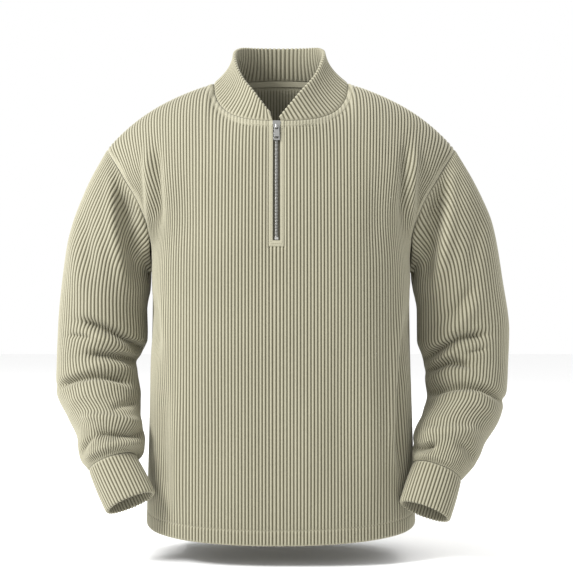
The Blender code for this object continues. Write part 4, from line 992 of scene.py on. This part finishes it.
def collar(material):
    front_edge, back_edge = front_form.base[-1], back_form.base[-1]
    left = FRONT_HALF_RIBS * RIB_COLUMNS
    right = left + MIDDLE_RIBS * RIB_COLUMNS
    reach = NECK_HALF_WIDTH + SEAM_GAP
    first = front_edge[:left + 1][front_edge[:left + 1, 0] > -reach][::-1]
    behind = back_edge[np.abs(back_edge[:, 0]) < reach]
    last = front_edge[right:][front_edge[right:, 0] < reach][::-1]
    front_steps = COLLAR_FRONT_RIBS * RIB_COLUMNS
    back_steps = (COLLAR_RIBS - 2 * COLLAR_FRONT_RIBS) * RIB_COLUMNS
    feet = np.vstack([spaced(first, front_steps), spaced(behind, back_steps)[1:-1],
                      spaced(last, front_steps)])
    sines = -feet[:, 0] / NECK_HALF_WIDTH
    cosines = -feet[:, 1] / np.where(feet[:, 1] < 0, NECK_FRONT, NECK_BACK)
    angles = np.unwrap(np.arctan2(sines, cosines))
    edges, waists = (np.array(column) for column in zip(*map(rim_point, angles)))
    waists = -unit(feet * (1.0, 1.0, 0.0)) * waists[:, None]
    feet = feet + unit(edges - feet) * SEAM_GAP * 1.5
    heights = np.linalg.norm(edges - feet, axis=1)
    shares, middle = COLLAR_SHARES, (feet + edges) / 2 + waists
    base = (feet * (1 - shares) * (1 - 2 * shares) + middle * 4 * shares * (1 - shares)
            + edges * shares * (2 * shares - 1))
    normals = grid_normals(base)
    if normals[len(base) // 2, len(feet) // 2, 1] < 0:
        normals = -normals
    foot_normals = np.array([neck_normal(angle) for angle in angles])
    blend = soft_step(shares * heights[None, :, None], 0.0, 0.006)
    normals = unit(foot_normals * (1 - blend) + normals * blend)
    from_seam = shares[..., 0] * heights
    from_end = np.minimum(np.arange(len(feet)), np.arange(len(feet))[::-1]) / RIB_COLUMNS
    calm = (0.4 + 0.6 * soft_step(from_seam, 0.0, 0.004)) * (0.3 + 0.7 * soft_step(from_end, 0.3, 1.2))
    folded_band("collar", base, normals, COLLAR_THICK, calm, -0.0006 * bell(from_seam, 0.0013), 0,
                material, "collar_rib_knit", COLLAR_CUT)


collar(knit_material("collar rib knit"))

# ------------------------------------------------------------------ neck tape
# A plain woven tape covers the collar's seam inside the back of the neck. It is cotton twill,
# sewn along both edges.

TAPE = 0.0009
NECK_TAPE_GAP = 0.0005
NECK_TAPE_HALF = 0.092
NECK_TAPE_TOP, NECK_TAPE_FOOT = 0.012, 0.145    # shares of the way down to the next row of the table
NECK_TAPE_CUT, ZIP_TAPE_CUT = (0.225, 0.012), (0.010, 0.176)


def tape_material(name, colour):
    """Plain woven cloth with a fine diagonal."""
    made, tree, shader = new_material(name, colour, 0.85)
    place = add_node(tree, "ShaderNodeTexCoord", out="Object")
    weave = add_node(tree, "ShaderNodeTexWave", {"Vector": place, "Scale": 320.0, "Distortion": 1.0},
                     out="Fac", bands_direction="DIAGONAL")
    bump = add_node(tree, "ShaderNodeBump", {"Height": weave, "Strength": 0.3, "Distance": 0.0002})
    tree.links.new(bump, shader.inputs["Normal"])
    return made


def at_levels(form, levels, columns):
    """A form's points and normals at the given levels, in some of its columns."""
    grids = []
    for values in (form.base, form.normals):
        lines = values[:, columns].reshape(len(form.levels), -1).T
        grid = np.stack([np.interp(levels, form.levels, line) for line in lines], axis=1)
        grids.append(grid.reshape(len(levels), -1, 3))
    return grids[0], unit(grids[1])


def strip(name, form, levels, columns, face, back, material, shift=0.0):
    """A flat piece behind a panel, between two distances out of the cloth."""
    base, normals = at_levels(form, levels, columns)
    rows, across = base.shape[:2]
    points = two_sides(base + normals * face, base + normals * back) + np.array([shift, 0.0, 0.0])
    front = np.arange(rows * across).reshape(rows, across)
    behind = front + rows * across
    faces = skin_faces(rows, across, 0) + skin_faces(rows, across, rows * across, flip=True)
    faces += rim_faces(front[0], behind[0], 1, flip=True) + rim_faces(front[-1], behind[-1], 1)
    faces += rim_faces(front[:, 0], behind[:, 0], 1)
    faces += rim_faces(front[:, -1], behind[:, -1], 1, flip=True)
    data = bpy.data.meshes.new(name)
    data.from_pydata(points.tolist(), [], outside_out(points, faces))
    data.materials.append(material)
    return put(name, data)


back_top = back_form.levels[-1]
top_gap = back_top - back_form.stops[-2]
neck_tape = strip("neck_tape", back_form,
                  np.linspace(back_top - NECK_TAPE_FOOT * top_gap, back_top - NECK_TAPE_TOP * top_gap, 5),
                  np.where(np.abs(back_form.base[-1, :, 0]) < NECK_TAPE_HALF)[0][::3],
                  -(CLOTH + NECK_TAPE_GAP), -(CLOTH + NECK_TAPE_GAP + TAPE),
                  tape_material("neck tape twill", (0.36, 0.34, 0.25)))
dress(neck_tape, "neck_tape", "neck_tape_twill", flat=NECK_TAPE_CUT, held="hung")

# ------------------------------------------------------------------ zip
# The zip's two woven tapes are sewn behind the slit in the front. Metal teeth are closed up its
# whole length to the slider, and a metal stop is clamped on below them.

TOOTH_PITCH = 0.00215      # from a tooth to the next one on the other tape
TOOTH_LENGTH, TOOTH_THICK, TOOTH_SHIFT, TOOTH_IN = 0.0046, 0.00140, 0.0012, 0.0004
STOP_FOOT, STOP_HEIGHT, STOP_OUT, STOP_COLUMNS = 0.0012, 0.0036, 0.0009, 3
SLIDER_REACH = 0.0151      # from the neckline to the slider's lower end
TAPE_BEHIND = 9            # columns that a tape reaches in behind the cloth


def along_tree(name, shape, turn):
    """Sets a small shape at equal steps along a line, turned to it, every other one to a side."""
    tree, given, result = tree_with(name, {"Spacing": "Float", "Size": "Vector",
                                           "Side Step": "Float", "Material": "Material"})
    curve = add_node(tree, "GeometryNodeMeshToCurve", {"Mesh": given["Geometry"]})
    even = add_node(tree, "GeometryNodeResampleCurve", {"Curve": curve, "Length": given["Spacing"]},
                    mode="LENGTH")
    way = add_node(tree, "GeometryNodeInputNamedAttribute", {"Name": "way"}, data_type="FLOAT_VECTOR")
    lengthwise = add_node(tree, "FunctionNodeAlignRotationToVector",
                          {"Vector": add_node(tree, "GeometryNodeInputTangent")}, axis="Y")
    upright = add_node(tree, "FunctionNodeAlignRotationToVector", {"Rotation": lengthwise, "Vector": way},
                       axis="Z", pivot_axis="Y")
    turned = add_node(tree, "GeometryNodeTransform",
                      {"Geometry": add_node(tree, *shape, out="Mesh"), "Rotation": turn})
    smooth = add_node(tree, "GeometryNodeSetShadeSmooth", {"Geometry": turned})
    placed = add_node(tree, "GeometryNodeInstanceOnPoints",
                      {"Points": even, "Instance": smooth, "Rotation": upright, "Scale": given["Size"]})
    odd = sums(tree, "MODULO", add_node(tree, "GeometryNodeInputIndex"), 2.0)
    step = sums(tree, "MULTIPLY", sums(tree, "MULTIPLY_ADD", odd, 2.0, -1.0), given["Side Step"])
    shifted = add_node(tree, "GeometryNodeTranslateInstances",
                       {"Instances": placed,
                        "Translation": add_node(tree, "ShaderNodeCombineXYZ", {"X": step})})
    return finish_tree(tree, shifted, given["Material"], result)


def along_lines(name, lines, tree, inputs):
    """Grows a tree's shapes along lines, each given as points and the way out of the cloth there."""
    edges, first = [], 0
    for line, _ in lines:
        edges += [(first + k, first + k + 1) for k in range(len(line) - 1)]
        first += len(line)
    data = bpy.data.meshes.new(name)
    data.from_pydata(np.vstack([line for line, _ in lines]).tolist(), edges, [])
    spot = data.attributes.new("way", "FLOAT_VECTOR", "POINT")
    spot.data.foreach_set("vector", np.vstack([way for _, way in lines]).astype(np.float32).ravel())
    piece = put(name, data)
    grow(piece, tree, inputs)
    return piece


def metal(name, colour, roughness):
    """Cast and tumbled metal, a little uneven in its shine."""
    made, tree, shader = new_material(name, colour, Metallic=1.0)
    rough = ramp(tree, cloud(tree, 900.0), 0.0, 1.0, roughness - 0.08, roughness + 0.12)
    tree.links.new(rough, shader.inputs["Roughness"])
    return made


def rounded(piece, width, segments, **more):
    """A live Bevel on a piece's sharp edges."""
    rounding = piece.modifiers.new("rounded edges", "BEVEL")
    rounding.width, rounding.segments, rounding.limit_method = width, segments, "ANGLE"
    for key, value in more.items():
        setattr(rounding, key, value)


half_slit = MIDDLE_RIBS * RIB_COLUMNS // 2
centre = FRONT_HALF_RIBS * RIB_COLUMNS + half_slit
slit_level, top_level = front_form.stops[SLIT_ROW] + ZIP_FOOT_UP, front_form.levels[-1]
zip_levels = front_form.levels[(front_form.levels > slit_level) & (front_form.levels < top_level - 0.002)]
tape_levels = [slit_level - 0.0016, slit_level, *zip_levels, top_level - 0.0012]
# The zip tapes' colour is their own sage darkened into painted shade, standing in for the shadow in the
# slit beside the teeth.
tape_cloth_painted_shade = tape_material("zip tape cloth painted shade", (0.075, 0.070, 0.048))
for name, side in (("zip_tape_left", -1), ("zip_tape_right", 1)):
    tape_columns = sorted(centre + side * k for k in (0, half_slit, half_slit + TAPE_BEHIND))
    tape = strip(name, front_form, tape_levels, tape_columns, -(CLOTH + SEAM_GAP),
                 -(CLOTH + SEAM_GAP + TAPE), tape_cloth_painted_shade, side * SEAM_GAP / 2)
    dress(tape, name, "zip_tape_cloth", flat=ZIP_TAPE_CUT, held="hung")

stop_levels = [slit_level + STOP_FOOT, slit_level + STOP_FOOT + STOP_HEIGHT]
teeth_end = top_level - SLIDER_REACH
teeth_levels = [stop_levels[1] + 0.0006, *zip_levels[(zip_levels > slit_level + 0.006)
                                                     & (zip_levels < teeth_end - 0.001)], teeth_end]
chain_line, chain_way = (grid[:, 0] for grid in at_levels(front_form, teeth_levels, [centre]))
bar = ("GeometryNodeMeshCylinder", {"Vertices": 8, "Radius": 0.5, "Depth": 1.0})
teeth = along_lines("zip_chain", [(chain_line - chain_way * TOOTH_IN, chain_way)],
                    along_tree("set_teeth", bar, (0.0, math.pi / 2, 0.0)),
                    {"Spacing": TOOTH_PITCH, "Size": (TOOTH_LENGTH, TOOTH_THICK, TOOTH_THICK * 1.25),
                     "Side Step": TOOTH_SHIFT,
                     "Material": metal("zip teeth metal", (0.36, 0.36, 0.345), 0.38)})
dress(teeth, "zip_chain", "zip_teeth_metal")

stop = strip("zip_stop", front_form, stop_levels, [centre - STOP_COLUMNS, centre, centre + STOP_COLUMNS],
             STOP_OUT, -CLOTH, metal("zip stop metal", (0.50, 0.50, 0.48), 0.35))
rounded(stop, 0.0004, 3)
dress(stop, "zip_stop", "zip_teeth_metal")

# ------------------------------------------------------------------ slider and pull
# The slider is cast metal, a plate on a wedge with a bridge over it. The flat pull turns on the
# bridge by its top bar, through the window behind it.

for node, look in (("zip_slider", metal("zip slider metal", (0.30, 0.30, 0.29), 0.36)),
                   ("zip_pull", metal("zip pull metal", (0.34, 0.34, 0.33), 0.34))):
    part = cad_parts[node]
    for slot in part.material_slots:
        slot.material = look
    part.modifiers.new("joined corners", "WELD").merge_threshold = 0.00002
    rounded(part, 0.00022, 2, angle_limit=math.radians(40))

# ------------------------------------------------------------------ stitching
# Rows of lockstitch in matching thread hold the turned edges: the hem, below the collar's seam,
# beside the armholes and round the zip.

STITCH_STEP = 0.0031
STITCH_SIZE = (0.00055, 0.0024, 0.0005)
THREAD_OUT, HEM_THREAD_OUT, ZIP_THREAD_OUT = 0.0011, 0.0005, 0.0013
ZIP_FOOT_STITCH = 0.0045   # the stitches below the slit's foot


def line_at(form, far, value, rows, columns, rise=THREAD_OUT, across=True):
    """Where far reaches a value, as it grows across each row, or else down each column."""
    base, normals, far = (grid[rows][:, columns] for grid in (form.base, form.normals, far))
    if across:
        base, normals, far = (grid.swapaxes(0, 1) for grid in (base, normals, far))
    points, ways = [], []
    for k in range(far.shape[1]):
        past = int(np.argmax(far[:, k] > value))
        if past:
            t = (value - far[past - 1, k]) / (far[past, k] - far[past - 1, k])
            points.append(base[past - 1, k] * (1 - t) + base[past, k] * t)
            ways.append(unit(normals[past - 1, k] * (1 - t) + normals[past, k] * t))
    points, ways = np.array(points), np.array(ways)
    return points + ways * rise, ways


def side_lines(form, far, value, rows, columns, rise=THREAD_OUT):
    """The lines at both sides of a panel; columns gives a slice for each, running inwards or out."""
    return [line_at(form, far, value, rows, part, rise) for part in columns]


def plain_line(form, level, rise):
    points, ways = (grid[0] for grid in at_levels(form, [level], slice(None)))
    return points + ways * rise, ways


def zip_stitches():
    """One row down beside the slit, across below its foot and up its other side."""
    rows = (front_form.levels > slit_level - ZIP_FOOT_STITCH) & (front_form.levels < top_level - 0.001)
    beside = ZIP_OPENING / 2 + ZIP_FRAME / 2
    reach = np.abs(front_form.base[..., 0] - ZIP_X)
    left, right = centre - half_slit, centre + half_slit
    (first, first_ways), (last, last_ways) = side_lines(
        front_form, reach, beside, rows, (slice(left, left - 30, -1), slice(right, right + 30)),
        ZIP_THREAD_OUT)
    foot, foot_ways = plain_line(front_form, slit_level - ZIP_FOOT_STITCH, ZIP_THREAD_OUT)
    near = np.abs(foot[:, 0] - ZIP_X) < beside
    return (np.vstack([first[::-1], foot[near], last]),
            np.vstack([first_ways[::-1], foot_ways[near], last_ways]))


thread = new_material("sewing thread", (0.31, 0.29, 0.205), 0.7)[0]
stitch = ("GeometryNodeMeshUVSphere", {"Segments": 6, "Rings": 4, "Radius": 0.5})
stitch_tree = along_tree("set_stitches", stitch, (0.0, 0.0, 0.0))
for form, name in ((front_form, "front"), (back_form, "back")):
    arm_rows = form.levels > form.stops[UNDERARM_ROW] + 0.002
    arm_columns = (slice(0, ARM_COLUMNS), slice(-1, -ARM_COLUMNS - 1, -1))
    lines = [plain_line(form, HEM_BAND, HEM_THREAD_OUT),
             *side_lines(form, form.arm_far, ARMHOLE_BAND - STITCH_IN, arm_rows, arm_columns)]
    around, ways = line_at(form, form.neck_far, NECK_BAND - STITCH_IN, slice(None, None, -1),
                           slice(None), across=False)
    if name == "front":
        from_zip = around[:, 0] - ZIP_X
        lines += [(around[part], ways[part]) for part in (from_zip < -ZIP_OPENING / 2 - ZIP_FRAME,
                                                          from_zip > ZIP_OPENING / 2 + ZIP_FRAME)]
        lines.append(zip_stitches())
    else:
        lines.append((around, ways))
    sewn = along_lines(name + "_stitches", lines, stitch_tree,
                       {"Spacing": STITCH_STEP, "Size": STITCH_SIZE, "Side Step": 0.0, "Material": thread})
    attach(sewn, "garment")

# ------------------------------------------------------------------ studio
# A plain pale floor lies under the hem, in a pale room. One large soft lamp stands in front to the
# image's left, and a weaker one behind.

FLOOR_Z, FLOOR_SIZE = -0.720, 14.0
MIDDLE = np.array([0.0, 0.0, -0.3])

bpy.ops.mesh.primitive_plane_add(size=FLOOR_SIZE, location=(0.0, 0.0, FLOOR_Z))
floor = bpy.context.object
floor.name = "floor"
floor.data.materials.append(new_material("pale floor", (0.90, 0.90, 0.90), 0.9)[0])

bpy.context.scene.view_settings.view_transform = "Standard"
world = bpy.data.worlds.new("studio")
bpy.context.scene.world = world
world.use_nodes = True
world.node_tree.nodes["Background"].inputs["Color"].default_value = (1.0, 1.0, 1.0, 1.0)
world.node_tree.nodes["Background"].inputs["Strength"].default_value = 1.0

for name, power, size, location in (("key light", 168.0, 1.1, (-2.3, -1.5, 1.8)),
                                    ("back light", 60.0, 1.6, (1.4, 2.4, 1.5))):
    data = bpy.data.lights.new(name, "AREA")
    data.energy, data.size = power, size
    lamp = put(name, data)
    lamp.location = location
    away = MIDDLE - np.array(location)
    lamp.rotation_euler = (math.acos(-away[2] / np.linalg.norm(away)), 0.0,
                           math.atan2(away[1], away[0]) - math.pi / 2)

camera_data = bpy.data.cameras.new("camera")
camera_data.lens, camera_data.sensor_width = 97.9, 36.0
camera = put("camera", camera_data)
camera.location = (0.0085, -2.4, -0.312)
camera.rotation_euler = (math.pi / 2, 0.0, 0.0)
bpy.context.scene.camera = camera
